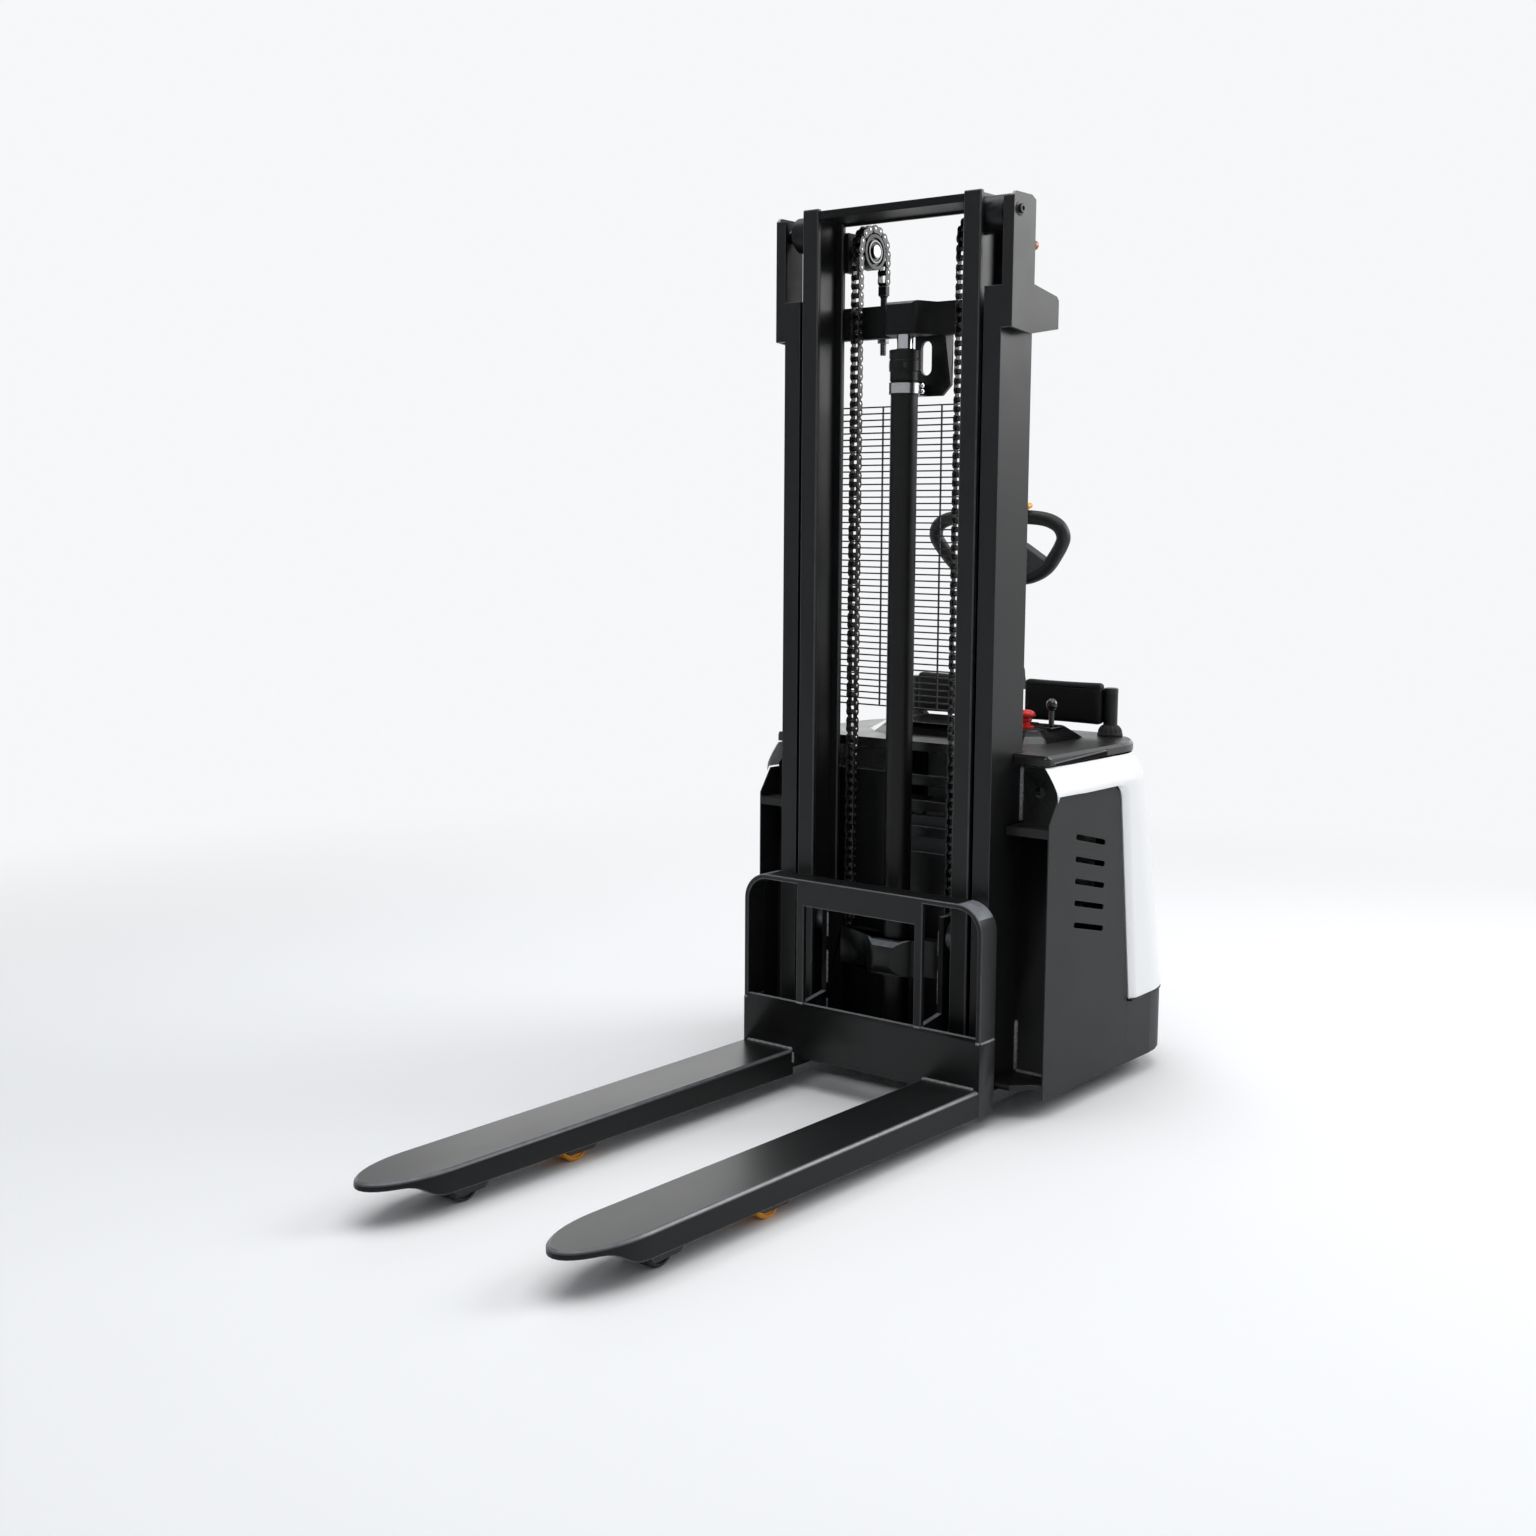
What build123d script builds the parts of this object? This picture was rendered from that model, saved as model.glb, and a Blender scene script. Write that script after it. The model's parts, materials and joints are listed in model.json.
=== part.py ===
from build123d import *
import math
import os

# Electric stacker with a two-stage mast. All sizes are in millimetres.
# X runs across the truck, the forks point along -Y and Z is up.
# Places along Y are counted from the front face of the fork heel, places along Z from the floor.
# At the end every piece is moved along Y, so that the middle of the truck stands on the origin.

# Fits and gaps
RUNNING_FIT = 0.1       # radial room between a turning piece and its axle
ROLLER_PLAY = 0.5       # room between a mast roller and the flanges that guide it
SIDE_PLAY = 2.0         # room beside a wheel, roller or plate that moves
SEAM = 2.0              # gap between neighbouring covers
ROLLER_SIDES = 24       # flats of a repeated roller, which keep its facets few
BORE_SIDES = 12
TUBE_SIDES = 12
CORNER_SIDES = 8        # flats of a large round corner

# Forks
FORK_LENGTH = 1150.0
FORK_WIDTH = 141.0
FORK_SPREAD = 622.0     # over the outer flanks
FORK_TOP = 88.0
FORK_DEPTH = 57.0       # at the heel
FORK_FRONT_DEPTH = 47.0 # where the flanks end
FORK_WALL = 6.0
FORK_EDGE = 5.0         # rounding of the upper edges
NOSE_LENGTH = 160.0     # the part that narrows, half an ellipse
NOSE_SIDES = 20         # flats round it
NOSE_THICK = 16.0
NOSE_FLANK = 150.0      # from the tip to where the flanks start to rise
NOSE_RISE = 96.0        # length over which they run out

# Support legs and their rollers
LEG_WIDTH = 110.0
LEG_BOTTOM = 40.0
LEG_TOP = 66.0
LEG_SHORT = 165.0       # of the fork's tip
LEG_CHEEK_BOTTOM = 22.0
LEG_CHEEK_LENGTH = 100.0
LEG_CHEEK_SLOPE = 18.0
LEG_ROLLER_DIAMETER = 74.0
LEG_ROLLER_WIDTH = 80.0
LEG_AXLE_DIAMETER = 20.0
TIP_ROLLER_SET = 51.0   # in from the end of the leg
ROLLER_SPACING = 289.0

# Carriage and load backrest
HEEL_PLATE = 12.0
HEEL_BOTTOM = 72.0
HEEL_TOP = 195.0
SIDE_PLATE = 11.0
SIDE_PLATE_DEPTH = 58.0
SIDE_PLATE_CORNER = 12.0
SIDE_PLATE_TOP = 186.0
BACKREST_TOP = 470.0
BACKREST_CORNER = 60.0
BACKREST_PANEL_HALF = 165.0
BACKREST_PANEL_HEIGHT = 47.0
BACKREST_BAR = 20.0
ROLLER_PLATE = 12.0
ROLLER_PLATE_OFFSET = 22.0      # its outer face, in from the posts
ROLLER_PLATE_BOTTOM = 95.0
ROLLER_PLATE_TOP = 415.0
ROLLER_PLATE_REAR = 152.0
CARRIAGE_ROLLER_LOW = 140.0
CARRIAGE_ROLLER_HIGH = 370.0
TIE_BOTTOM = 264.0
TIE_FRONT = 88.0
TIE_THICK = 14.0
PROW_HALF = 38.0        # flat front of the tie and of the yoke

# Mast sections
POST_TOP = 1898.0
POST_BOTTOM = 92.0
POST_INNER = 182.0      # from the middle to the inner face of a post
POST_WIDTH = 41.5
POST_DEPTH = 100.0
POST_FLANGE = 12.0
POST_WEB = 8.0
POST_FRONT = 79.0
MAST_GAP = 8.5          # between a post and the channel around it
CHANNEL_TOP = 1709.0
CHANNEL_WIDTH = 41.0
CHANNEL_DEPTH = 120.0
CHANNEL_FLANGE = 12.0
CHANNEL_WEB = 8.0
CHANNEL_FRONT = 83.0
MAST_AXLE_DIAMETER = 28.0
MAST_AXLE_END = 4.0     # how far an axle stops short of its roller's free face
POST_ROLLER_HEIGHT = 150.0
HEAD_ROLLER_DROP = 45.0 # below the top of the posts
BRACKET_FLANGE = 8.0
BRACKET_REACH = 25.0    # from the channel to the outer face of its head bracket
BRACKET_BOTTOM = 1618.0
BRACKET_DROP = 10.0     # below the top of the posts

# Mast ties, yoke and anchor beam
TOP_TIE_SET = 6.0       # below the top of the posts
TOP_TIE_THICK = 16.0
TOP_TIE_LIP = 8.0
TOP_TIE_DROP = 5.0
YOKE_BOTTOM = 1631.0
YOKE_TOP = 1699.0
YOKE_FRONT = 124.0
YOKE_SPREAD = 75.0      # half width where the prow meets the wings
YOKE_PLATE = 12.0
LOW_TIE_HEIGHT = 23.0
ANCHOR_BEAM_BOTTOM = 1635.0
ANCHOR_BEAM_TOP = 1700.0
ANCHOR_BEAM_PLATE = 8.0
ANCHOR_BEAM_AHEAD = 24.0        # of the rear chains
ANCHOR_BEAM_BEHIND = 12.0
ANCHOR_SHELF_HEIGHT = 1655.0
ANCHOR_SHELF_THICK = 10.0
ANCHOR_ROD_DIAMETER = 14.0
ANCHOR_ROD_BOTTOM = 1618.0
ANCHOR_NUT_DIAMETER = 25.0

# Chains and chain rollers
CHAIN_PITCH = 19.05
CHAIN_INNER_WIDTH = 12.6
CHAIN_PLATE = 2.4
CHAIN_PLATE_HEIGHT = 18.0
CHAIN_BUSH = 12.0
CHAIN_INNER_HEIGHT = 15.0
CHAIN_X = 133.0
CHAIN_ROLLER_Y = 204.0
CHAIN_ROLLER_HEIGHT = 1817.0
CHAIN_FRONT_LINKS = 77
CHAIN_WRAP_LINKS = 8    # over half a turn
CHAIN_REAR_LINKS = 3
CHAIN_RIM_GAP = 0.5
CHAIN_ROLLER_WIDTH = 24.0
AXLE_PLATE = 12.0
AXLE_PLATE_HALF_HEIGHT = 42.0
AXLE_PLATE_REAR = 30.0  # behind the axle

# Lift cylinder
CYLINDER_Y = 145.0
CYLINDER_DIAMETER = 58.0
CYLINDER_BORE = 48.0
CYLINDER_FOOT = 20.0
PISTON_LENGTH = 40.0
PISTON_HEIGHT = 130.0
ROD_DIAMETER = 35.0
GLAND_DIAMETER = 66.0
GLAND_BOTTOM = 1534.0
GLAND_TOP = 1602.0
CLAMP_BAND = 4.0
CLAMP_BOTTOM = 1508.0
CLAMP_TOP = 1532.0
CLAMP_PLATE_TOP = 1635.0
CLAMP_PLATE_LEFT = -26.0
CLAMP_PLATE_RIGHT = 66.0
CLAMP_FLANGE = 26.0     # depth of its side flange at the top
CLAMP_CUT = 22.0        # of its lower corner
CLAMP_STEM_HALF = 9.0
CLAMP_SLOT_X = 3.0
CLAMP_SLOT_WIDTH = 27.0
CLAMP_SLOT_BOTTOM = 1552.0
CLAMP_SLOT_TOP = 1624.0

# Wire guard
GUARD_BOTTOM = 838.0
GUARD_WIRES = 48
GUARD_PITCH = 13.8
GUARD_WIRE = 3.0
GUARD_UPRIGHTS = (-98.0, 54.0)
GUARD_OVERLAP = 20.0    # of a wire on the channel that it is welded to

# Chassis
BASE_THICK = 12.0
BASE_REAR = 450.0
BASE_FRONT = 104.0
BASE_NOSE_HALF = 320.0
WING_TOP = 735.0
WING_CHAMFER = 34.0
WING_CHAMFER_HEIGHT = 48.0
WING_HOLE_X = 318.0
WING_HOLE_HEIGHT = 684.0
WING_HOLE_DIAMETER = 25.0
WING_SHELF_BOTTOM = 599.0
WING_SHELF_THICK = 18.0
WING_SHELF_GAP = 5.0    # from the channel
WALL_THICK = 8.0
WALL_TOP = 692.0
WALL_SLOTS = 3
WALL_SLOT_LEFT = -40.0
WALL_SLOT_RIGHT = 165.0
WALL_BAR = 22.0         # between and above the slots
WALL_SLOT_PITCH = 57.0
RAIL_THICK = 12.0
RAIL_SET = 38.0         # in from the flank of the hood
RAIL_BOTTOM = 190.0
BRIDGE_BOTTOM = 312.0
BRIDGE_THICK = 12.0
BRIDGE_REAR = 725.0
BRIDGE_CORNER = 190.0
CASTOR_PLATE = 10.0
RING_THICK = 12.0       # slewing ring under the bridge
RING_DIAMETER = 200.0
NECK_DIAMETER = 140.0

# Covers
PANEL_SET = 10.0        # in from the flank of the hood
PANEL_THICK = 3.0
PANEL_FRONT = 138.0
PANEL_BOTTOM = 48.0
PANEL_TOP = 680.0
PANEL_SHOULDER = 627.0
PANEL_SHOULDER_SET = 36.0
PANEL_REAR_TOP = 436.0
PANEL_REAR_BOTTOM = 499.0
PANEL_CORNER = 30.0
PANEL_SLOTS = 5
PANEL_SLOT_PITCH = 47.0
PANEL_SLOT_LENGTH = 130.0
PANEL_SLOT_HEIGHT = 12.0
PANEL_SLOT_TILT = 12.6
PANEL_SLOT_Y = 314.0
PANEL_SLOT_TOP = 577.0
HOOD_WALL = 5.0
HOOD_FRONT = 167.0
HOOD_HALF = 390.0
HOOD_REAR = 791.0
HOOD_CORNER = 200.0
HOOD_SHOULDER_HEIGHT = 690.0
HOOD_SHOULDER_REAR = 678.0
HOOD_TOP = 745.0
HOOD_TOP_HALF = 355.0
HOOD_TOP_REAR = 652.0
HOOD_TOP_CORNER = 160.0
SKIRT_WALL = 4.0
SKIRT_SET = 1.0         # in from the hood at the rear
SKIRT_CORNER = 180.0
SKIRT_TOP = 195.0
SKIRT_LEDGE = 5.0
COVER_LIP = 3.0
COVER_THICK = 20.0
COVER_EDGE = 6.0
CONSOLE_HALF = 238.0
CONSOLE_FRONT = 330.0
CONSOLE_REAR = 565.0
CONSOLE_RISE = 25.0
CONSOLE_SLOPE = 40.0
CONSOLE_CORNER = 40.0

# Drive unit, castors and tiller
DRIVE_Y = 603.0
DRIVE_WHEEL_DIAMETER = 230.0
DRIVE_WHEEL_WIDTH = 75.0
DRIVE_AXLE_DIAMETER = 40.0
GEAR_CASE_WIDTH = 46.0
GEAR_CASE_DEPTH = 130.0
GEAR_TOP = 290.0
GEAR_TOP_THICK = 45.0
GEAR_TOP_SIDE = 160.0
MOTOR_DIAMETER = 134.0
MOTOR_TOP = 480.0
COLUMN_DIAMETER = 44.0
PIVOT_HEIGHT = 890.0
PIVOT_DIAMETER = 16.0
PIVOT_CHEEK = 8.0
PIVOT_CHEEK_DEPTH = 40.0
PIVOT_YOKE_BASE = 8.0
ARM_DIAMETER = 40.0
ARM_HUB = 48.0
ARM_LEAN = 12.8         # forward of upright, in degrees
CASTOR_X = 250.0
CASTOR_Y = 600.0
CASTOR_TRAIL = 36.0
CASTOR_WHEEL_DIAMETER = 125.0
CASTOR_WHEEL_WIDTH = 44.0
CASTOR_AXLE_DIAMETER = 16.0
CASTOR_FORK_PLATE = 6.0
CASTOR_HEAD = 90.0        # side of the square head plate
CASTOR_STEM_DIAMETER = 24.0

# Tiller head, measured along the leaning arm from its pivot
LOOP_TUBE = 32.0
LOOP_CUT = 9.3          # of the tube's corners
LOOP_LOW = 230.0
LOOP_HIGH = 374.0
LOOP_HALF = 170.0
# Middle line of the loop, as shares of its half width and of its height.
LOOP_LINE = (
    (0.16, 0.0), (0.36, 0.02), (0.52, 0.065), (0.65, 0.14), (0.755, 0.24), (0.855, 0.38), (0.95, 0.54),
    (1.0, 0.68), (0.975, 0.81), (0.88, 0.91), (0.72, 0.97), (0.46, 1.0),
)
HEAD_PANEL_TOP = 313.0
HEAD_PANEL_TOP_HALF = 66.0
HEAD_PANEL_SIDE = 272.0
HEAD_PANEL_SIDE_HALF = 124.0
HEAD_PANEL_THICK = 26.0
BELLY_HALF = 94.0
BELLY_HEIGHT = 10.0
BELLY_DEPTH = 24.0
BELLY_CUT = 4.0         # of its upper edge
BELLY_TRAVEL = 4.0
BELLY_STEM = 14.0
WING_ROCKER_SPAN = 116.0
WING_ROCKER_HEIGHT = 24.0
LIFT_ROCKER_HEIGHT = 18.0
CONTROL_PIN = 6.0
CONTROL_LUG = 5.0
WING_ROCKER_ALONG = 288.0
ROCKER_HALF = 20.0
ROCKER_ALONG = 255.0
HORN_SIDE = 16.0
HORN_X = 52.0
HORN_TRAVEL = 3.0
CONTROL_GAP = 0.5

# Side guards
GUARD_ARM_X = 261.0
GUARD_PILLAR = 36.0
GUARD_PIN_DIAMETER = 20.0
GUARD_POST_DIAMETER = 32.0
GUARD_POST_TOP = 872.0
GUARD_BOOT_DIAMETER = 56.0
GUARD_BOOT_HEIGHT = 25.0
GUARD_BAR = 6.0
GUARD_BAR_HEIGHT = 50.0
PAD_GAP_HALF = 38.0
PAD_BOTTOM = 790.0
PAD_TOP = 884.0
PAD_THICK = 26.0
PAD_CROWN = 4.0
PAD_CROWN_SET = 16.0    # in from the edge of the crowned front
PAD_DRAW = 3.0          # of the sides towards the back
PAD_EDGE = 8.0

# Console controls
STOP_X = 144.0
STOP_Y = 433.0
STOP_HEAD = 40.0
STOP_STEM = 18.0
STOP_TOP = 829.0
STOP_HEAD_HEIGHT = 16.0
STOP_DOME = 30.0        # lean of its upper edge, in degrees
STOP_DEPTH = 18.0       # of its bore in the console
STOP_TRAVEL = 6.0
LEVER_X = 192.0
LEVER_Y = 460.0
LEVER_BALL = 27.0
LEVER_BALL_HEIGHT = 841.0
LEVER_BALL_LEAN = 45.0  # of the facets at its ends, in degrees
LEVER_STEM = 10.0
LEVER_SLOT_LENGTH = 46.0
LEVER_PIVOT_DEPTH = 14.0

# Rider platform, folded up behind the hood
PLATFORM_HALF = 240.0
PLATFORM_LENGTH = 380.0
PLATFORM_THICK = 20.0
PLATFORM_CORNER = 60.0
PLATFORM_SET = 27.0     # from the hinge to the tray
PLATFORM_HINGE_HEIGHT = 170.0
PLATFORM_HINGE_SET = 21.0       # behind the skirt
PLATFORM_LEAN = 10.0
PLATFORM_PIN = 14.0
PLATFORM_BARREL = 26.0
PLATFORM_BARREL_LENGTH = 48.0
PLATFORM_LUG = 12.0
PLATFORM_LUG_HALF = 20.0
PLATFORM_LUG_X = 150.0

# Power units inside the hood
BATTERY_HALF = 250.0
BATTERY_LENGTH = 195.0
BATTERY_TOP = 600.0
BATTERY_CELLS = 6
BATTERY_GAP = 12.0      # behind the front wall
PUMP_WIDTH = 180.0
PUMP_DEPTH = 90.0
PUMP_TANK_HEIGHT = 110.0
PUMP_MOTOR_DIAMETER = 84.0
PUMP_MOTOR_HEIGHT = 120.0
CONTROLLER_WIDTH = 180.0
CONTROLLER_HEIGHT = 70.0
CONTROLLER_FINS = 6
UNIT_X = 110.0          # inner side of the pump and the controller
UNIT_Y = 455.0

# Places that follow from the sizes above
fork_x = (FORK_SPREAD - FORK_WIDTH) / 2
fork_outer = FORK_SPREAD / 2
fork_bottom = FORK_TOP - FORK_DEPTH
flank_bottom = FORK_TOP - FORK_FRONT_DEPTH
nose_start = NOSE_LENGTH - FORK_LENGTH
flank_end = NOSE_FLANK - FORK_LENGTH
base_bottom = LEG_TOP
base_top = LEG_TOP + BASE_THICK
leg_reach = FORK_LENGTH - LEG_SHORT
tip_roller_reach = leg_reach - TIP_ROLLER_SET
load_roller_reach = tip_roller_reach - ROLLER_SPACING
post_outer = POST_INNER + POST_WIDTH
post_rear = POST_FRONT + POST_DEPTH
post_axis = POST_FRONT + POST_DEPTH / 2
post_web_inner = POST_INNER + (POST_WIDTH - POST_WEB) / 2
post_web_outer = post_web_inner + POST_WEB
channel_inner = post_outer + MAST_GAP
channel_outer = channel_inner + CHANNEL_WIDTH
channel_rear = CHANNEL_FRONT + CHANNEL_DEPTH
channel_axis = CHANNEL_FRONT + CHANNEL_DEPTH / 2
channel_web_inner = channel_outer - CHANNEL_WEB
post_roller_radius = POST_DEPTH / 2 - POST_FLANGE - ROLLER_PLAY
channel_roller_radius = CHANNEL_DEPTH / 2 - CHANNEL_FLANGE - ROLLER_PLAY
roller_plate_outer = POST_INNER - ROLLER_PLATE_OFFSET
roller_plate_inner = roller_plate_outer - ROLLER_PLATE
bracket_outer = channel_outer + BRACKET_REACH
bracket_inner = bracket_outer - BRACKET_FLANGE
bracket_top = POST_TOP - BRACKET_DROP
head_roller_height = POST_TOP - HEAD_ROLLER_DROP
top_tie_top = POST_TOP - TOP_TIE_SET
top_tie_bottom = top_tie_top - TOP_TIE_THICK
chain_radius = CHAIN_PITCH / 2 / math.sin(math.pi / 2 / CHAIN_WRAP_LINKS)
chain_tip = CHAIN_PLATE_HEIGHT / 2
chain_end = CHAIN_BUSH / 2
chain_bottom = CHAIN_ROLLER_HEIGHT - CHAIN_FRONT_LINKS * CHAIN_PITCH
chain_front = CHAIN_ROLLER_Y - chain_radius
chain_rear = CHAIN_ROLLER_Y + chain_radius
chain_rear_bottom = CHAIN_ROLLER_HEIGHT - CHAIN_REAR_LINKS * CHAIN_PITCH
chain_half = CHAIN_INNER_WIDTH / 2 + 2 * CHAIN_PLATE
chain_roller_radius = (
    chain_radius * math.cos(math.pi / 2 / CHAIN_WRAP_LINKS) - CHAIN_PLATE_HEIGHT / 2 - CHAIN_RIM_GAP
)
tie_top = chain_bottom - chain_end
beam_front = chain_rear - ANCHOR_BEAM_AHEAD
beam_rear = chain_rear + ANCHOR_BEAM_BEHIND
clamp_front = beam_front - ANCHOR_BEAM_PLATE
guard_wire_front = channel_rear
wall_front = channel_rear + CHANNEL_FLANGE
wall_rear = wall_front + WALL_THICK
panel_outer = HOOD_HALF - PANEL_SET
panel_inner = panel_outer - PANEL_THICK
rail_outer = HOOD_HALF - RAIL_SET
rail_inner = rail_outer - RAIL_THICK
bridge_top = BRIDGE_BOTTOM + BRIDGE_THICK
skirt_rear = HOOD_REAR - SKIRT_SET
cover_top = HOOD_TOP + COVER_THICK
console_top = cover_top + CONSOLE_RISE
hinge_y = skirt_rear + PLATFORM_HINGE_SET
rear_reach = hinge_y + PLATFORM_LUG_HALF
y_shift = (FORK_LENGTH - rear_reach) / 2
arm_frame = Pos(0, DRIVE_Y, PIVOT_HEIGHT) * Rot(ARM_LEAN, 0, 0)


def block(x, y, z):
    """Box between the low and the high end given along each axis."""
    size = [high - low for low, high in (x, y, z)]
    middle = [(high + low) / 2 for low, high in (x, y, z)]
    return Pos(*middle) * Box(*size)


def bar_x(y, z, diameter, start, end):
    """Round bar along X."""
    return Pos((start + end) / 2, y, z) * Rot(0, 90, 0) * Cylinder(diameter / 2, end - start)


def bar_y(x, z, diameter, start, end):
    """Round bar along Y."""
    return Pos(x, (start + end) / 2, z) * Rot(90, 0, 0) * Cylinder(diameter / 2, end - start)


def bar_z(x, y, diameter, start, end):
    """Round bar along Z."""
    return Pos(x, y, (start + end) / 2) * Cylinder(diameter / 2, end - start)


def facets_z(x, y, diameter, start, end, taper=0):
    """Upright bar with flat sides, drawn in by a taper in degrees."""
    face = Pos(x, y, start) * RegularPolygon(diameter / 2, TUBE_SIDES)
    return extrude(face, end - start, taper=taper)


def plate_x(outline, start, end):
    """Plate with a (y, z) outline, between two places along X."""
    face = Plane.YZ.offset(start) * make_face(Polyline(*outline, close=True))
    return extrude(face, end - start, dir=(1, 0, 0))


def plate_y(outline, start, end):
    """Plate with an (x, z) outline, between two places along Y."""
    face = Plane.XZ.offset(-start) * make_face(Polyline(*outline, close=True))
    return extrude(face, end - start, dir=(0, 1, 0))


def plate_z(outline, start, end):
    """Plate with an (x, y) outline, between two places along Z."""
    face = Plane.XY.offset(start) * make_face(Polyline(*outline, close=True))
    return extrude(face, end - start, dir=(0, 0, 1))


def mirrored(shape):
    """The same piece on the left side."""
    return mirror(shape, about=Plane.YZ)


def both(shape):
    """The piece and its mirror image, as two solids."""
    return [shape, mirrored(shape)]


def even(outline):
    """An outline given for x > 0, from front to rear, closed by its mirror image."""
    return list(outline) + [(-x, y) for x, y in reversed(outline)]


def arc_points(x, y, radius, start, end, sides):
    """Points along an arc, with both its ends. Angles are in degrees."""
    angles = [math.radians(start + (end - start) * number / sides) for number in range(sides + 1)]
    return [(x + radius * math.cos(angle), y + radius * math.sin(angle)) for angle in angles]


def round_rear(half, front, rear, corner, height):
    """Level face with square front corners and rear corners rounded in flats."""
    corner_line = arc_points(half - corner, rear - corner, corner, 0, 90, CORNER_SIDES)
    return Pos(0, 0, height) * make_face(Polyline(*even([(half, front)] + corner_line), close=True))


def roller_x(y, z, outer, axle, start, end):
    """Roller on an axle along X: flats that touch its true diameter, and a bore that clears the axle."""
    flat = 180 / ROLLER_SIDES
    rim = RegularPolygon(outer / 2, ROLLER_SIDES, major_radius=False, rotation=flat)
    bore = RegularPolygon(axle / 2 + RUNNING_FIT, BORE_SIDES, major_radius=False)
    return Pos(start, y, z) * extrude(Plane.YZ * (rim - bore), end - start, dir=(1, 0, 0))


def fork():
    """Right fork: a channel open below, with a narrowing nose that thins from below."""
    half = FORK_WIDTH / 2
    nose_bottom = FORK_TOP - NOSE_THICK
    turns = [math.pi * number / NOSE_SIDES for number in range(NOSE_SIDES + 1)]
    nose = [(half * math.cos(turn), nose_start - NOSE_LENGTH * math.sin(turn)) for turn in turns]
    blank = plate_z([(-half, 0), (half, 0)] + nose, fork_bottom, FORK_TOP)
    upper = blank.faces().sort_by(Axis.Z)[-1].edges()
    blank = chamfer([edge for edge in upper if edge.center().Y < -FORK_EDGE], FORK_EDGE)
    # The flanks get lower from the heel on, and run out in an S-curve under the nose.
    run = NOSE_RISE / 2
    drop = (nose_bottom - flank_bottom) / 2
    bend = (run ** 2 + drop ** 2) / 2 / drop
    turn = math.degrees(math.asin(run / bend))
    sides = CORNER_SIDES // 2
    rise = arc_points(flank_end, flank_bottom + bend, bend, -90, -90 - turn, sides)
    rise += arc_points(flank_end - NOSE_RISE, nose_bottom - bend, bend, 90 - turn, 90, sides)[1:]
    beyond = -FORK_LENGTH - SEAM
    low = fork_bottom - SEAM
    rise += [(beyond, nose_bottom), (beyond, low), (0, low), (0, fork_bottom)]
    under = plate_x(rise, -half, half)
    inner = half - FORK_WALL
    channel = block(
        (-inner, inner), (flank_end + FORK_WALL, SEAM), (fork_bottom - SEAM, FORK_TOP - FORK_WALL)
    )
    return Pos(fork_x, 0, 0) * (blank - under - channel)


def leg_rollers():
    """Places along Y of the two rollers of a leg."""
    return [-load_roller_reach, -tip_roller_reach]


def support_leg():
    """Right leg: a flat bar with a cheeked pocket and an axle for each roller."""
    side = (fork_x - LEG_WIDTH / 2, fork_x + LEG_WIDTH / 2)
    pocket_half = LEG_ROLLER_WIDTH / 2 + SIDE_PLAY
    pocket_reach = LEG_ROLLER_DIAMETER / 2 + 4 * SIDE_PLAY
    leg = block(side, (-leg_reach, wall_rear), (LEG_BOTTOM, LEG_TOP))
    for y in leg_rollers():
        half = LEG_CHEEK_LENGTH / 2
        foot = half - LEG_CHEEK_SLOPE
        leg += plate_x(
            [(y - half, LEG_BOTTOM), (y - foot, LEG_CHEEK_BOTTOM),
             (y + foot, LEG_CHEEK_BOTTOM), (y + half, LEG_BOTTOM)],
            *side,
        )
        leg -= block(
            (fork_x - pocket_half, fork_x + pocket_half),
            (y - pocket_reach, y + pocket_reach),
            (0, LEG_TOP + 1),
        )
        leg += bar_x(y, LEG_ROLLER_DIAMETER / 2, LEG_AXLE_DIAMETER, *side)
    return leg


def leg_roller(y):
    """Right roller of one axle line."""
    half = LEG_ROLLER_WIDTH / 2
    height = LEG_ROLLER_DIAMETER / 2
    return roller_x(y, height, LEG_ROLLER_DIAMETER, LEG_AXLE_DIAMETER, fork_x - half, fork_x + half)


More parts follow.
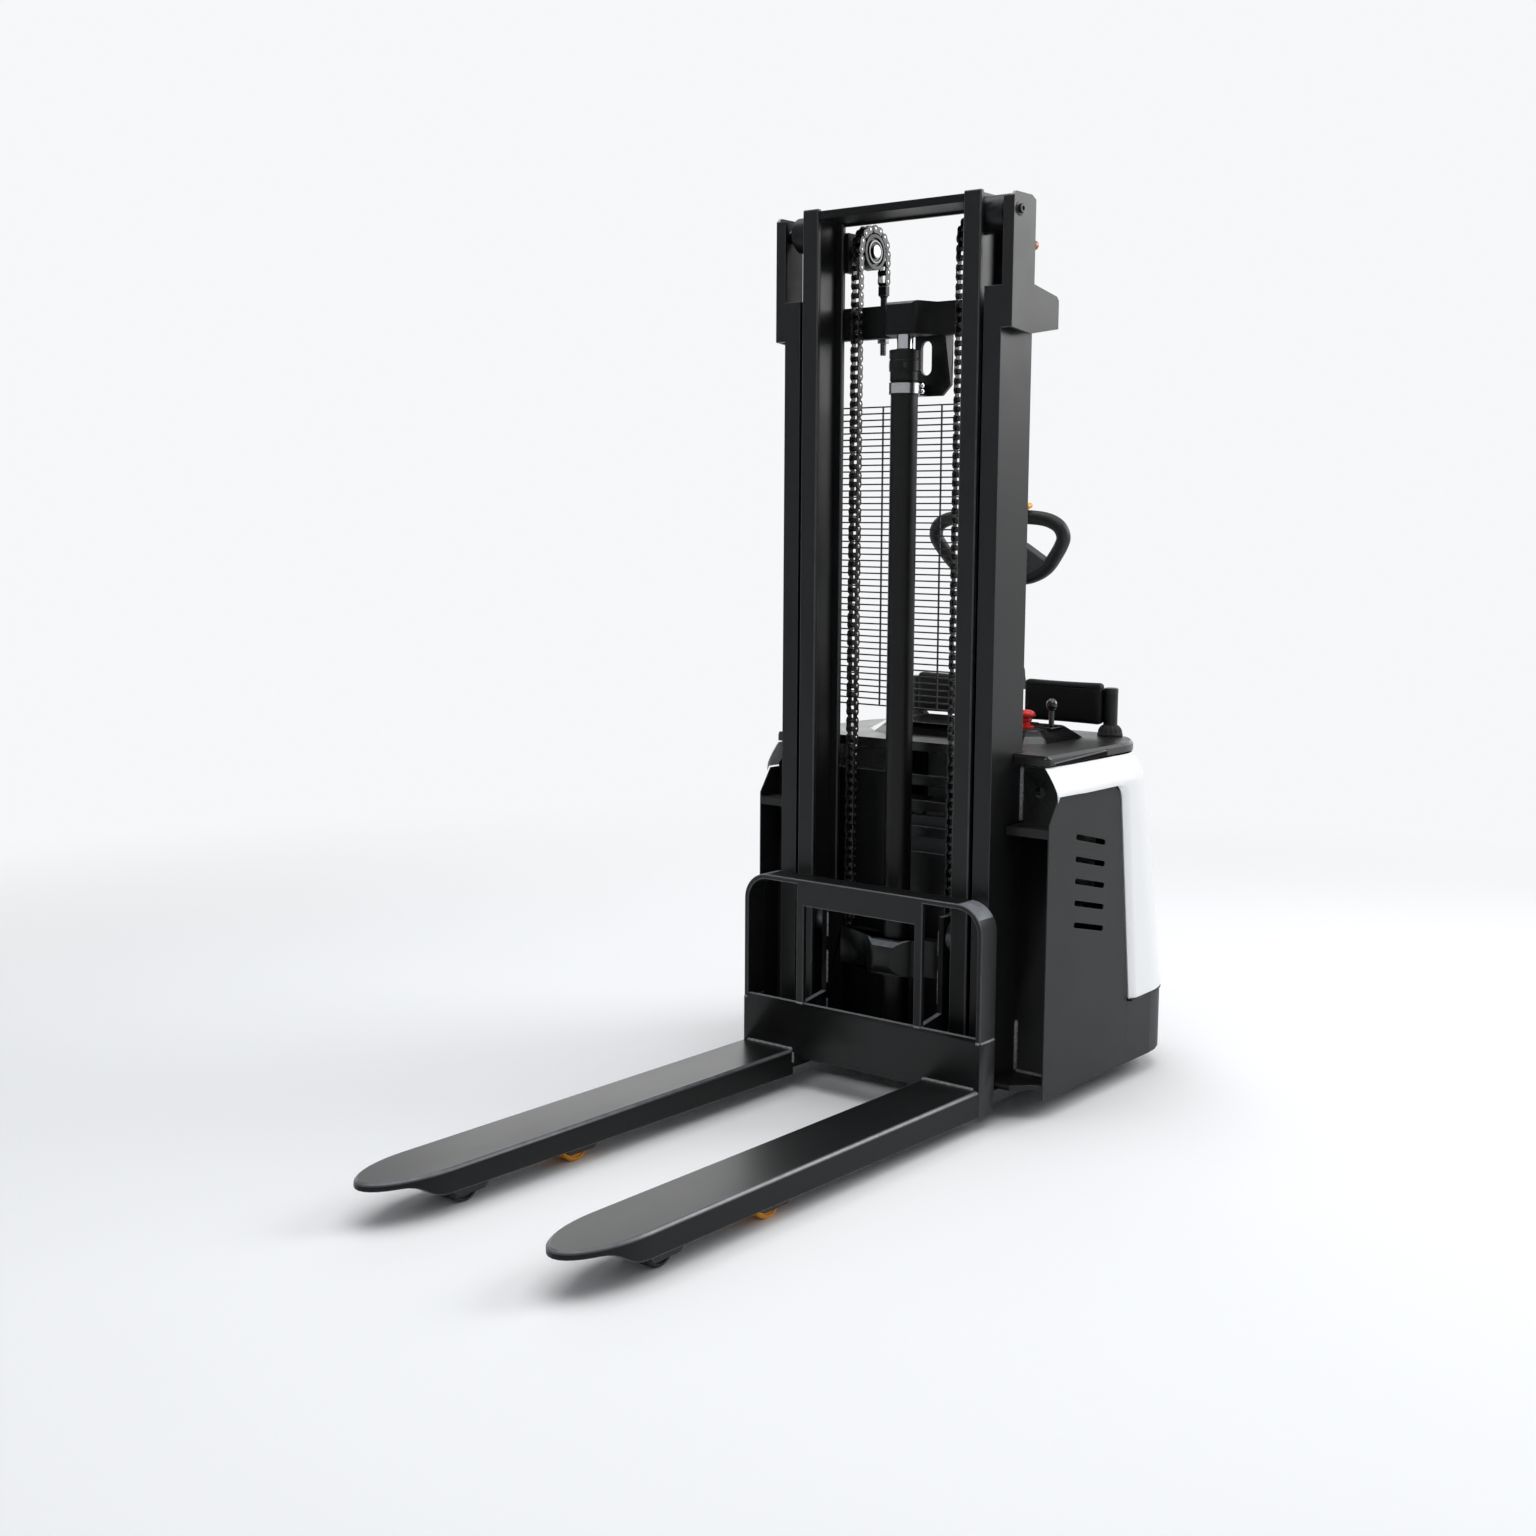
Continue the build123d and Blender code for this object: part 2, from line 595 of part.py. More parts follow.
def carriage_frame():
    """Heel plate, side plates, roller plates with their axles, and the prow-shaped tie."""
    side_inner = fork_outer - SIDE_PLATE
    frame = block((-side_inner, side_inner), (0, HEEL_PLATE), (HEEL_BOTTOM, HEEL_TOP))
    side = plate_x(
        [(0, fork_bottom), (SIDE_PLATE_DEPTH - SIDE_PLATE_CORNER, fork_bottom),
         (SIDE_PLATE_DEPTH, fork_bottom + SIDE_PLATE_CORNER),
         (SIDE_PLATE_DEPTH, SIDE_PLATE_TOP), (0, SIDE_PLATE_TOP)],
        side_inner, fork_outer,
    )
    # The roller plate stands behind the heel plate and leans back above it.
    lean = ROLLER_PLATE_REAR / 2
    plate = plate_x(
        [(HEEL_PLATE, ROLLER_PLATE_BOTTOM), (ROLLER_PLATE_REAR, ROLLER_PLATE_BOTTOM),
         (ROLLER_PLATE_REAR, ROLLER_PLATE_TOP), (lean + HEEL_PLATE, ROLLER_PLATE_TOP),
         (lean + HEEL_PLATE, HEEL_TOP + HEEL_PLATE), (HEEL_PLATE, HEEL_TOP)],
        roller_plate_inner, roller_plate_outer,
    )
    axle_end = post_web_inner - SIDE_PLAY - MAST_AXLE_END
    for height in (CARRIAGE_ROLLER_LOW, CARRIAGE_ROLLER_HIGH):
        plate += bar_x(post_axis, height, MAST_AXLE_DIAMETER, roller_plate_inner, axle_end)
    # The tie's ends carry the chains, so they reach back to the chain line.
    wing_inner = CHAIN_X - chain_half - CHAIN_PLATE_HEIGHT
    wing_front = chain_front - TIE_THICK
    wing_rear_face = chain_front + TIE_THICK
    tie = plate_z(
        even([
            (PROW_HALF, TIE_FRONT), (wing_inner, wing_front), (roller_plate_inner, wing_front),
            (roller_plate_inner, wing_rear_face), (wing_inner, wing_rear_face),
            (PROW_HALF, TIE_FRONT + TIE_THICK),
        ]),
        TIE_BOTTOM, tie_top,
    )
    for piece in both(side) + both(plate) + [tie]:
        frame += piece
    return frame


def load_backrest():
    """Bent strap on the side plates, with an upper panel and two upright bars."""
    side_inner = fork_outer - SIDE_PLATE
    strap_corner = BACKREST_CORNER
    outer = RectangleRounded(2 * fork_outer, 2 * (BACKREST_TOP - SIDE_PLATE_TOP), strap_corner)
    inner = RectangleRounded(
        2 * side_inner, 2 * (BACKREST_TOP - SIDE_PLATE - SIDE_PLATE_TOP), strap_corner - SIDE_PLATE
    )
    loop = extrude(Plane.XZ * (outer - inner), SIDE_PLATE_DEPTH, dir=(0, 1, 0))
    loop = Pos(0, 0, SIDE_PLATE_TOP) * loop
    strap = loop - block(
        (-FORK_SPREAD, FORK_SPREAD), (-SEAM, SIDE_PLATE_DEPTH + SEAM),
        (SIDE_PLATE_TOP - BACKREST_TOP, SIDE_PLATE_TOP),
    )
    panel_top = BACKREST_TOP - SIDE_PLATE
    panel_bottom = panel_top - BACKREST_PANEL_HEIGHT
    half = BACKREST_PANEL_HALF
    panel = block((-half, half), (0, HEEL_PLATE), (panel_bottom, panel_top))
    bar = block((half - BACKREST_BAR, half), (0, HEEL_PLATE), (HEEL_TOP, panel_bottom))
    return strap + panel + bar + mirrored(bar)


def inner_post():
    """Right inner post, an I-section with the axle of its lower roller."""
    post = block((POST_INNER, post_outer), (POST_FRONT, post_rear), (POST_BOTTOM, POST_TOP))
    recess = (POST_FRONT + POST_FLANGE, post_rear - POST_FLANGE)
    height = (POST_BOTTOM - 1, POST_TOP + 1)
    post -= block((POST_INNER - 1, post_web_inner), recess, height)
    post -= block((post_web_outer, post_outer + 1), recess, height)
    end = channel_web_inner - SIDE_PLAY - MAST_AXLE_END
    return post + bar_x(channel_axis, POST_ROLLER_HEIGHT, MAST_AXLE_DIAMETER, post_web_outer, end)


def outer_channel():
    """Right outer channel with its head bracket and the axle of the head roller."""
    channel = block((channel_inner, channel_outer), (CHANNEL_FRONT, channel_rear), (base_top, CHANNEL_TOP))
    channel -= block(
        (channel_inner - 1, channel_web_inner),
        (CHANNEL_FRONT + CHANNEL_FLANGE, channel_rear - CHANNEL_FLANGE),
        (base_top - 1, CHANNEL_TOP + 1),
    )
    # The head bracket is an angle: a flange in front and a side plate with a lobe behind.
    front = CHANNEL_FRONT
    chamfer = BRACKET_FLANGE
    neck = post_axis + post_roller_radius
    lobe_top = ANCHOR_BEAM_TOP
    side = plate_x(
        [(front, BRACKET_BOTTOM + chamfer), (front, bracket_top - chamfer), (front + chamfer, bracket_top),
         (neck - 2 * chamfer, bracket_top), (neck, bracket_top - chamfer), (neck, lobe_top + 2 * chamfer),
         (beam_rear - chamfer, lobe_top), (beam_rear, lobe_top - chamfer), (beam_rear, ANCHOR_BEAM_BOTTOM),
         (neck - chamfer, BRACKET_BOTTOM)],
        bracket_inner, bracket_outer,
    )
    flange = block(
        (channel_outer, bracket_inner), (front, front + BRACKET_FLANGE),
        (BRACKET_BOTTOM + chamfer, bracket_top - chamfer),
    )
    spacer = block(
        (channel_outer, bracket_inner), (front, neck - chamfer), (ANCHOR_BEAM_BOTTOM, CHANNEL_TOP)
    )
    axle_start = post_web_outer + SIDE_PLAY + MAST_AXLE_END
    axle = bar_x(post_axis, head_roller_height, MAST_AXLE_DIAMETER, axle_start, bracket_inner)
    return channel + side + flange + spacer + axle


def outer_ties():
    """Anchor beam between the head brackets, and the slotted clamp bracket of the cylinder."""
    beam = block(
        (-bracket_inner, bracket_inner), (beam_front, beam_front + ANCHOR_BEAM_PLATE),
        (ANCHOR_BEAM_BOTTOM, ANCHOR_BEAM_TOP),
    )
    shelf_top = ANCHOR_SHELF_HEIGHT + ANCHOR_SHELF_THICK
    beam += block(
        (-bracket_inner, bracket_inner), (beam_front + ANCHOR_BEAM_PLATE, beam_rear),
        (ANCHOR_SHELF_HEIGHT, shelf_top),
    )
    for x in (-CHAIN_X, CHAIN_X):
        beam -= bar_z(
            x, chain_rear, ANCHOR_ROD_DIAMETER + 2 * RUNNING_FIT, ANCHOR_SHELF_HEIGHT - 1, shelf_top + 1
        )
    # The clamp bracket hangs from the beam and holds a band around the tube.
    plate_top = CLAMP_PLATE_TOP + ANCHOR_BEAM_PLATE
    plate = plate_y(
        [(CLAMP_PLATE_LEFT, CLAMP_BOTTOM), (CLAMP_PLATE_RIGHT - CLAMP_CUT, CLAMP_BOTTOM),
         (CLAMP_PLATE_RIGHT, CLAMP_BOTTOM + CLAMP_CUT), (CLAMP_PLATE_RIGHT, plate_top),
         (CLAMP_PLATE_LEFT, plate_top)],
        clamp_front, beam_front,
    )
    plate += plate_x(
        [(clamp_front, CLAMP_BOTTOM + CLAMP_CUT), (clamp_front, plate_top),
         (clamp_front - CLAMP_FLANGE, plate_top)],
        CLAMP_PLATE_RIGHT - ANCHOR_BEAM_PLATE, CLAMP_PLATE_RIGHT,
    )
    half = CLAMP_SLOT_WIDTH / 2
    slot = arc_points(CLAMP_SLOT_X, CLAMP_SLOT_TOP - half, half, 0, 180, CORNER_SIDES)
    slot += arc_points(CLAMP_SLOT_X, CLAMP_SLOT_BOTTOM + half, half, 180, 360, CORNER_SIDES)
    plate -= plate_y(slot, clamp_front, beam_front)
    stem = block(
        (-CLAMP_STEM_HALF, CLAMP_STEM_HALF), (CYLINDER_Y, clamp_front), (CLAMP_BOTTOM, CLAMP_TOP)
    )
    band = bar_z(0, CYLINDER_Y, CYLINDER_DIAMETER + 2 * CLAMP_BAND, CLAMP_BOTTOM, CLAMP_TOP)
    clamp = plate + stem + band - bar_z(0, CYLINDER_Y, CYLINDER_DIAMETER, CLAMP_BOTTOM, CLAMP_TOP)
    return beam + clamp


def inner_ties():
    """Top tie, yoke on the piston rod, lower tie and the chain roller axles, each its own solid."""
    top = block((-POST_INNER, POST_INNER), (POST_FRONT, post_rear), (top_tie_bottom, top_tie_top))
    top += block(
        (-POST_INNER, POST_INNER), (post_rear - TOP_TIE_LIP, post_rear),
        (top_tie_bottom - TOP_TIE_DROP, top_tie_bottom),
    )
    yoke = plate_z(
        even([
            (PROW_HALF, YOKE_FRONT), (YOKE_SPREAD, post_rear), (post_outer, post_rear),
            (post_outer, post_rear + YOKE_PLATE), (YOKE_SPREAD, post_rear + YOKE_PLATE),
        ]),
        YOKE_BOTTOM, YOKE_TOP,
    )
    # The prow is a bent plate over a thick seat for the rod.
    slope = (post_rear - YOKE_FRONT) / (YOKE_SPREAD - PROW_HALF)
    inner_front = YOKE_FRONT + YOKE_PLATE
    inner_half = PROW_HALF - YOKE_PLATE / 4
    yoke -= plate_z(
        even([(inner_half, inner_front), (inner_half + (post_rear - inner_front) / slope, post_rear)]),
        YOKE_BOTTOM + 2 * YOKE_PLATE, YOKE_TOP + 1,
    )
    low = block(
        (-post_outer, post_outer), (post_rear, post_rear + YOKE_PLATE),
        (POST_BOTTOM, POST_BOTTOM + LOW_TIE_HEIGHT),
    )
    plate_inner = POST_INNER - AXLE_PLATE / 2
    plate = block(
        (plate_inner, plate_inner + AXLE_PLATE), (post_rear, CHAIN_ROLLER_Y + AXLE_PLATE_REAR),
        (CHAIN_ROLLER_HEIGHT - AXLE_PLATE_HALF_HEIGHT, CHAIN_ROLLER_HEIGHT + AXLE_PLATE_HALF_HEIGHT),
    )
    axle = bar_x(
        CHAIN_ROLLER_Y, CHAIN_ROLLER_HEIGHT, MAST_AXLE_DIAMETER,
        CHAIN_X - CHAIN_ROLLER_WIDTH / 2 - MAST_AXLE_END, plate_inner,
    )
    return [top, yoke, low] + both(plate + axle)


def chain_roller():
    """Right chain roller: a smooth rim under the chain."""
    half = CHAIN_ROLLER_WIDTH / 2
    return roller_x(
        CHAIN_ROLLER_Y, CHAIN_ROLLER_HEIGHT, 2 * chain_roller_radius, MAST_AXLE_DIAMETER,
        CHAIN_X - half, CHAIN_X + half,
    )


def mast_rollers(height, radius, axis, start, end):
    """A roller on each side, on axles that stand on the mast."""
    return both(roller_x(axis, height, 2 * radius, MAST_AXLE_DIAMETER, start, end))


def chain_pieces(first, last):
    """Links first to last of the right chain, counted from the carriage."""
    half = CHAIN_PLATE_HEIGHT / 2
    outline = [
        (-half, 0), (0, -chain_tip), (half, 0),
        (half, CHAIN_PITCH), (0, CHAIN_PITCH + chain_tip), (-half, CHAIN_PITCH),
    ]
    inner = CHAIN_INNER_WIDTH / 2
    outer = inner + CHAIN_PLATE
    outer_pair = both(plate_x(outline, outer, outer + CHAIN_PLATE))
    # An inner link is a frame: its two plates and the two bushes between them.
    depth = CHAIN_INNER_HEIGHT / 2
    bush = CHAIN_BUSH / 2
    frame = block((-outer, outer), (-depth, depth), (-bush, CHAIN_PITCH + bush))
    frame -= block((-inner, inner), (-depth, depth), (bush, CHAIN_PITCH - bush))
    pieces = []
    for number in range(first, last):
        link = outer_pair if number % 2 else [frame]
        pieces += [chain_place(number) * piece for piece in link]
    return pieces


def chain_place(number):
    """Place of a link's lower pin, with the link running up from it along its own Z."""
    wrap = number - CHAIN_FRONT_LINKS
    if wrap < 0:
        return Pos(CHAIN_X, chain_front, chain_bottom + number * CHAIN_PITCH)
    if wrap < CHAIN_WRAP_LINKS:
        step = 180 / CHAIN_WRAP_LINKS
        angle = math.radians(180 - wrap * step)
        y = CHAIN_ROLLER_Y + chain_radius * math.cos(angle)
        z = CHAIN_ROLLER_HEIGHT + chain_radius * math.sin(angle)
        return Pos(CHAIN_X, y, z) * Rot(-(wrap + 0.5) * step, 0, 0)
    down = (wrap - CHAIN_WRAP_LINKS) * CHAIN_PITCH
    return Pos(CHAIN_X, chain_rear, CHAIN_ROLLER_HEIGHT - down) * Rot(180, 0, 0)


def anchor_rod():
    """Right chain anchor: a rod through the shelf, its nut, and the eye under the last link."""
    eye_half = CHAIN_INNER_WIDTH / 2 + CHAIN_PLATE
    eye_top = chain_rear_bottom - chain_tip - SIDE_PLAY / 4
    eye = block(
        (CHAIN_X - eye_half, CHAIN_X + eye_half), (chain_rear - chain_end, chain_rear + chain_end),
        (eye_top - CHAIN_PITCH, eye_top),
    )
    rod = facets_z(CHAIN_X, chain_rear, ANCHOR_ROD_DIAMETER, ANCHOR_ROD_BOTTOM, eye_top - CHAIN_PITCH)
    nut = extrude(RegularPolygon(ANCHOR_NUT_DIAMETER / 2, 6), ANCHOR_SHELF_THICK)
    return eye + rod + Pos(CHAIN_X, chain_rear, ANCHOR_SHELF_HEIGHT - ANCHOR_SHELF_THICK) * nut


def lift_cylinder():
    """Tube on the base plate, with a solid foot and a gland at the top."""
    tube = bar_z(0, CYLINDER_Y, CYLINDER_DIAMETER, base_top, GLAND_BOTTOM)
    tube += bar_z(0, CYLINDER_Y, GLAND_DIAMETER, GLAND_BOTTOM, GLAND_TOP)
    tube -= bar_z(0, CYLINDER_Y, CYLINDER_BORE, base_top + CYLINDER_FOOT, GLAND_BOTTOM)
    return tube - bar_z(0, CYLINDER_Y, ROD_DIAMETER + 2 * RUNNING_FIT, GLAND_BOTTOM, GLAND_TOP)


def piston_rod():
    """Rod from the piston to the seat in the yoke."""
    rod = bar_z(0, CYLINDER_Y, ROD_DIAMETER, PISTON_HEIGHT, YOKE_BOTTOM)
    piston = CYLINDER_BORE - 6 * RUNNING_FIT
    half = PISTON_LENGTH / 2
    return rod + bar_z(0, CYLINDER_Y, piston, PISTON_HEIGHT - half, PISTON_HEIGHT + half)


def mast_guard():
    """Level wires welded to the channels, with two uprights behind them, as separate solids."""
    reach = channel_inner + GUARD_OVERLAP
    rear = guard_wire_front + GUARD_WIRE
    top = GUARD_BOTTOM + (GUARD_WIRES - 1) * GUARD_PITCH + GUARD_WIRE
    wires = []
    for number in range(GUARD_WIRES):
        low = GUARD_BOTTOM + number * GUARD_PITCH
        wires.append(block((-reach, reach), (guard_wire_front, rear), (low, low + GUARD_WIRE)))
    for x in GUARD_UPRIGHTS:
        wires.append(
            block((x - GUARD_WIRE / 2, x + GUARD_WIRE / 2), (rear, rear + GUARD_WIRE), (GUARD_BOTTOM, top))
        )
    return wires


def chassis_frame():
    """Welded front of the frame: base plate, wing plates with their shelves, and the barred wall."""
    base_chamfer = panel_inner - BASE_NOSE_HALF
    frame = plate_z(
        even([
            (BASE_NOSE_HALF, BASE_FRONT),
            (panel_inner, BASE_FRONT + base_chamfer),
            (panel_inner, BASE_REAR),
        ]),
        base_bottom, base_top,
    )
    # The wing plates stand between the mast and the wall, inside the hood.
    wing = plate_y(
        [(channel_web_inner, base_top), (panel_inner, base_top),
         (panel_inner, WING_TOP - WING_CHAMFER_HEIGHT), (panel_inner - WING_CHAMFER, WING_TOP),
         (channel_web_inner, WING_TOP)],
        channel_rear, wall_front,
    )
    wing += block(
        (channel_outer + WING_SHELF_GAP, panel_inner), (PANEL_FRONT, channel_rear),
        (WING_SHELF_BOTTOM, WING_SHELF_BOTTOM + WING_SHELF_THICK),
    )
    wall = block((-panel_inner, panel_inner), (wall_front, wall_rear), (base_top, PANEL_TOP))
    wall += block((-rail_outer, rail_outer), (wall_front, wall_rear), (PANEL_TOP, WALL_TOP))
    for number in range(WALL_SLOTS):
        high = WALL_TOP - WALL_BAR - number * WALL_SLOT_PITCH
        wall -= block(
            (WALL_SLOT_LEFT, WALL_SLOT_RIGHT), (wall_front, wall_rear),
            (high + WALL_BAR - WALL_SLOT_PITCH, high),
        )
    for piece in both(wing) + [wall]:
        frame += piece
    for x in (-WING_HOLE_X, WING_HOLE_X):
        frame -= bar_y(x, WING_HOLE_HEIGHT, WING_HOLE_DIAMETER, channel_rear, wall_rear)
    return frame


def drive_bridge():
    """Rear of the frame, on the wall: rails, bridge with the slewing ring, castor plates, pillars."""
    rail_rear = BRIDGE_REAR - BRIDGE_CORNER
    rail = block((rail_inner, rail_outer), (wall_rear, rail_rear), (RAIL_BOTTOM, bridge_top))
    castor_reach = CASTOR_HEAD
    castor_plate = block(
        (CASTOR_X - castor_reach, rail_inner), (CASTOR_Y - castor_reach, CASTOR_Y + CASTOR_HEAD / 2),
        (RAIL_BOTTOM, RAIL_BOTTOM + CASTOR_PLATE),
    )
    post_top = block(
        (CASTOR_X - CASTOR_HEAD / 2, CASTOR_X + CASTOR_HEAD / 2),
        (CASTOR_Y - castor_reach, CASTOR_Y - castor_reach + RAIL_THICK),
        (RAIL_BOTTOM, BRIDGE_BOTTOM),
    )
    stem = CASTOR_STEM_DIAMETER + 2 * RUNNING_FIT
    castor_plate -= bar_z(CASTOR_X, CASTOR_Y, stem, RAIL_BOTTOM, RAIL_BOTTOM + CASTOR_PLATE)
    frame = extrude(
        round_rear(rail_outer, BASE_REAR, BRIDGE_REAR, BRIDGE_CORNER, BRIDGE_BOTTOM), BRIDGE_THICK
    )
    frame += facets_z(0, DRIVE_Y, RING_DIAMETER, BRIDGE_BOTTOM - RING_THICK, BRIDGE_BOTTOM)
    side = GUARD_PILLAR / 2
    pillar = block(
        (GUARD_ARM_X - side, GUARD_ARM_X + side), (DRIVE_Y - side, DRIVE_Y + side), (bridge_top, HOOD_TOP)
    )
    pin_top = GUARD_POST_TOP - GUARD_PIN_DIAMETER / 2
    pillar += bar_z(GUARD_ARM_X, DRIVE_Y, GUARD_PIN_DIAMETER, HOOD_TOP, pin_top)
    for piece in both(rail) + both(castor_plate) + both(post_top) + both(pillar):
        frame += piece
    neck = NECK_DIAMETER + 2 * SIDE_PLAY
    return frame - bar_z(0, DRIVE_Y, neck, BRIDGE_BOTTOM - RING_THICK, bridge_top)


def panel_outline(gap):
    """Outline of a side panel, grown by a gap along its upper and rear edges."""
    return [
        (PANEL_FRONT, PANEL_BOTTOM), (PANEL_FRONT, PANEL_SHOULDER),
        (PANEL_FRONT + PANEL_SHOULDER_SET, PANEL_TOP + gap),
        (PANEL_REAR_TOP - PANEL_CORNER + gap, PANEL_TOP + gap),
        (PANEL_REAR_TOP + gap, PANEL_TOP - PANEL_CORNER), (PANEL_REAR_BOTTOM + gap, SKIRT_TOP),
        (PANEL_REAR_BOTTOM + gap, PANEL_BOTTOM),
    ]


def side_panel():
    """Right side panel with its slanted ventilation slots."""
    panel = plate_x(panel_outline(0), panel_inner, panel_outer)
    half = PANEL_SLOT_HEIGHT / 2
    end = PANEL_SLOT_LENGTH / 2
    flank = end - half
    slot = Rot(0, 0, -PANEL_SLOT_TILT) * make_face(
        Polyline(
            (-end, 0), (-flank, -half), (flank, -half), (end, 0), (flank, half), (-flank, half), close=True
        )
    )
    for number in range(PANEL_SLOTS):
        height = PANEL_SLOT_TOP - number * PANEL_SLOT_PITCH
        cut = Plane.YZ.offset(panel_inner) * Pos(PANEL_SLOT_Y, height) * slot
        panel -= extrude(cut, PANEL_THICK, dir=(1, 0, 0))
    return panel


def hood_form(inset):
    """Closed body of the hood, smaller by an inset on every side."""
    low = SKIRT_TOP - (1 if inset else 0)
    high = HOOD_TOP + (1 if inset else 0)
    front = HOOD_FRONT - (1 if inset else 0)
    sections = [
        round_rear(HOOD_HALF - inset, front, HOOD_REAR - inset, HOOD_CORNER - inset, low),
        round_rear(
            HOOD_HALF - inset, front, HOOD_SHOULDER_REAR - inset, HOOD_CORNER - inset, HOOD_SHOULDER_HEIGHT
        ),
        round_rear(HOOD_TOP_HALF - inset, front, HOOD_TOP_REAR - inset, HOOD_TOP_CORNER - inset, high),
    ]
    faces = [section.face() for section in sections]
    return loft(faces[:2], ruled=True) + loft(faces[1:], ruled=True)


def hood():
    """White hood: a leaning shell, open below, in front and above, cut away round the side panels."""
    shell = hood_form(0) - hood_form(HOOD_WALL)
    window = plate_x(panel_outline(SEAM), -HOOD_HALF - 1, HOOD_HALF + 1)
    inside = panel_outer - 2 * HOOD_WALL
    window -= block((-inside, inside), (0, HOOD_REAR), (0, HOOD_TOP))
    return shell - window


def rear_skirt():
    """Black skirt around the rear with a ledge for the hood and the lugs of the platform hinge."""
    front = PANEL_REAR_BOTTOM
    ledge_bottom = SKIRT_TOP - SKIRT_LEDGE
    wall = SKIRT_WALL
    band = extrude(
        round_rear(panel_outer, front, skirt_rear, SKIRT_CORNER, PANEL_BOTTOM), ledge_bottom - PANEL_BOTTOM
    )
    band -= extrude(
        round_rear(panel_outer - wall, front - 1, skirt_rear - wall, SKIRT_CORNER - wall, PANEL_BOTTOM),
        ledge_bottom - PANEL_BOTTOM,
    )
    ledge = extrude(
        round_rear(HOOD_HALF, front + SEAM, HOOD_REAR, HOOD_CORNER, ledge_bottom), SKIRT_LEDGE
    )
    ledge -= extrude(
        round_rear(rail_outer, front, HOOD_REAR - RAIL_SET, HOOD_CORNER - RAIL_SET, ledge_bottom),
        SKIRT_LEDGE,
    )
    lug_top = PLATFORM_HINGE_HEIGHT + PLATFORM_LUG_HALF
    lug_low = PLATFORM_HINGE_HEIGHT - PLATFORM_LUG_HALF
    lug = plate_x(
        [(skirt_rear, lug_low - PLATFORM_LUG_HALF), (hinge_y, lug_low), (hinge_y, lug_top),
         (skirt_rear, lug_top)],
        PLATFORM_LUG_X, PLATFORM_LUG_X + PLATFORM_LUG,
    )
    boss = Plane.YZ * RegularPolygon(PLATFORM_LUG_HALF, TUBE_SIDES)
    lug += Pos(PLATFORM_LUG_X, hinge_y, PLATFORM_HINGE_HEIGHT) * extrude(boss, PLATFORM_LUG, dir=(1, 0, 0))
    pin_end = PLATFORM_LUG_X + PLATFORM_LUG
    pin = bar_x(hinge_y, PLATFORM_HINGE_HEIGHT, PLATFORM_PIN, -pin_end, pin_end)
    return band + ledge + lug + mirrored(lug) + pin


def console():
    """Raised console with cut corners and sloping sides."""
    half, cut = CONSOLE_HALF, CONSOLE_CORNER
    front, rear = CONSOLE_FRONT, CONSOLE_REAR
    points = even([(half - cut, front), (half, front + cut), (half, rear - cut), (half - cut, rear)])
    slope = math.degrees(math.atan(CONSOLE_SLOPE / CONSOLE_RISE))
    foot = Pos(0, 0, cover_top) * make_face(Polyline(*points, close=True))
    return extrude(foot, CONSOLE_RISE, taper=slope)


def top_cover():
    """Black cover on the hood with a raised console and the places for its controls."""
    outline = round_rear(
        HOOD_TOP_HALF + COVER_LIP, HOOD_FRONT, HOOD_TOP_REAR + COVER_LIP, HOOD_TOP_CORNER + COVER_LIP,
        HOOD_TOP,
    )
    cover = extrude(outline, COVER_THICK)
    cover = chamfer(cover.faces().sort_by(Axis.Z)[-1].edges(), COVER_EDGE)
    notch = channel_outer + SEAM
    cover -= block((-notch, notch), (0, wall_front), (HOOD_TOP, cover_top))
    cover += console()
    column = COLUMN_DIAMETER + 8 * SIDE_PLAY
    cover -= bar_z(0, DRIVE_Y, column, HOOD_TOP, cover_top)
    for x in (-GUARD_ARM_X, GUARD_ARM_X):
        cover -= bar_z(x, DRIVE_Y, GUARD_PIN_DIAMETER + SIDE_PLAY, HOOD_TOP, cover_top)
    cover -= bar_z(
        STOP_X, STOP_Y, STOP_STEM + 4 * RUNNING_FIT, console_top - STOP_DEPTH - SIDE_PLAY, console_top
    )
    slot_half = LEVER_STEM / 2 + SIDE_PLAY
    return cover - block(
        (LEVER_X - slot_half, LEVER_X + slot_half),
        (LEVER_Y - LEVER_SLOT_LENGTH / 2, LEVER_Y + LEVER_SLOT_LENGTH / 2),
        (console_top - LEVER_PIVOT_DEPTH - LEVER_STEM, console_top),
    )


def guard_boot():
    """Right rubber boot: a narrowing sleeve around the guard's pin."""
    top = cover_top + GUARD_BOOT_HEIGHT
    draw = math.degrees(math.atan((GUARD_BOOT_DIAMETER - GUARD_POST_DIAMETER) / 2 / GUARD_BOOT_HEIGHT))
    boot = facets_z(GUARD_ARM_X, DRIVE_Y, GUARD_BOOT_DIAMETER, cover_top, top, draw)
    return boot - facets_z(GUARD_ARM_X, DRIVE_Y, GUARD_PIN_DIAMETER + 2 * SIDE_PLAY, cover_top, top)


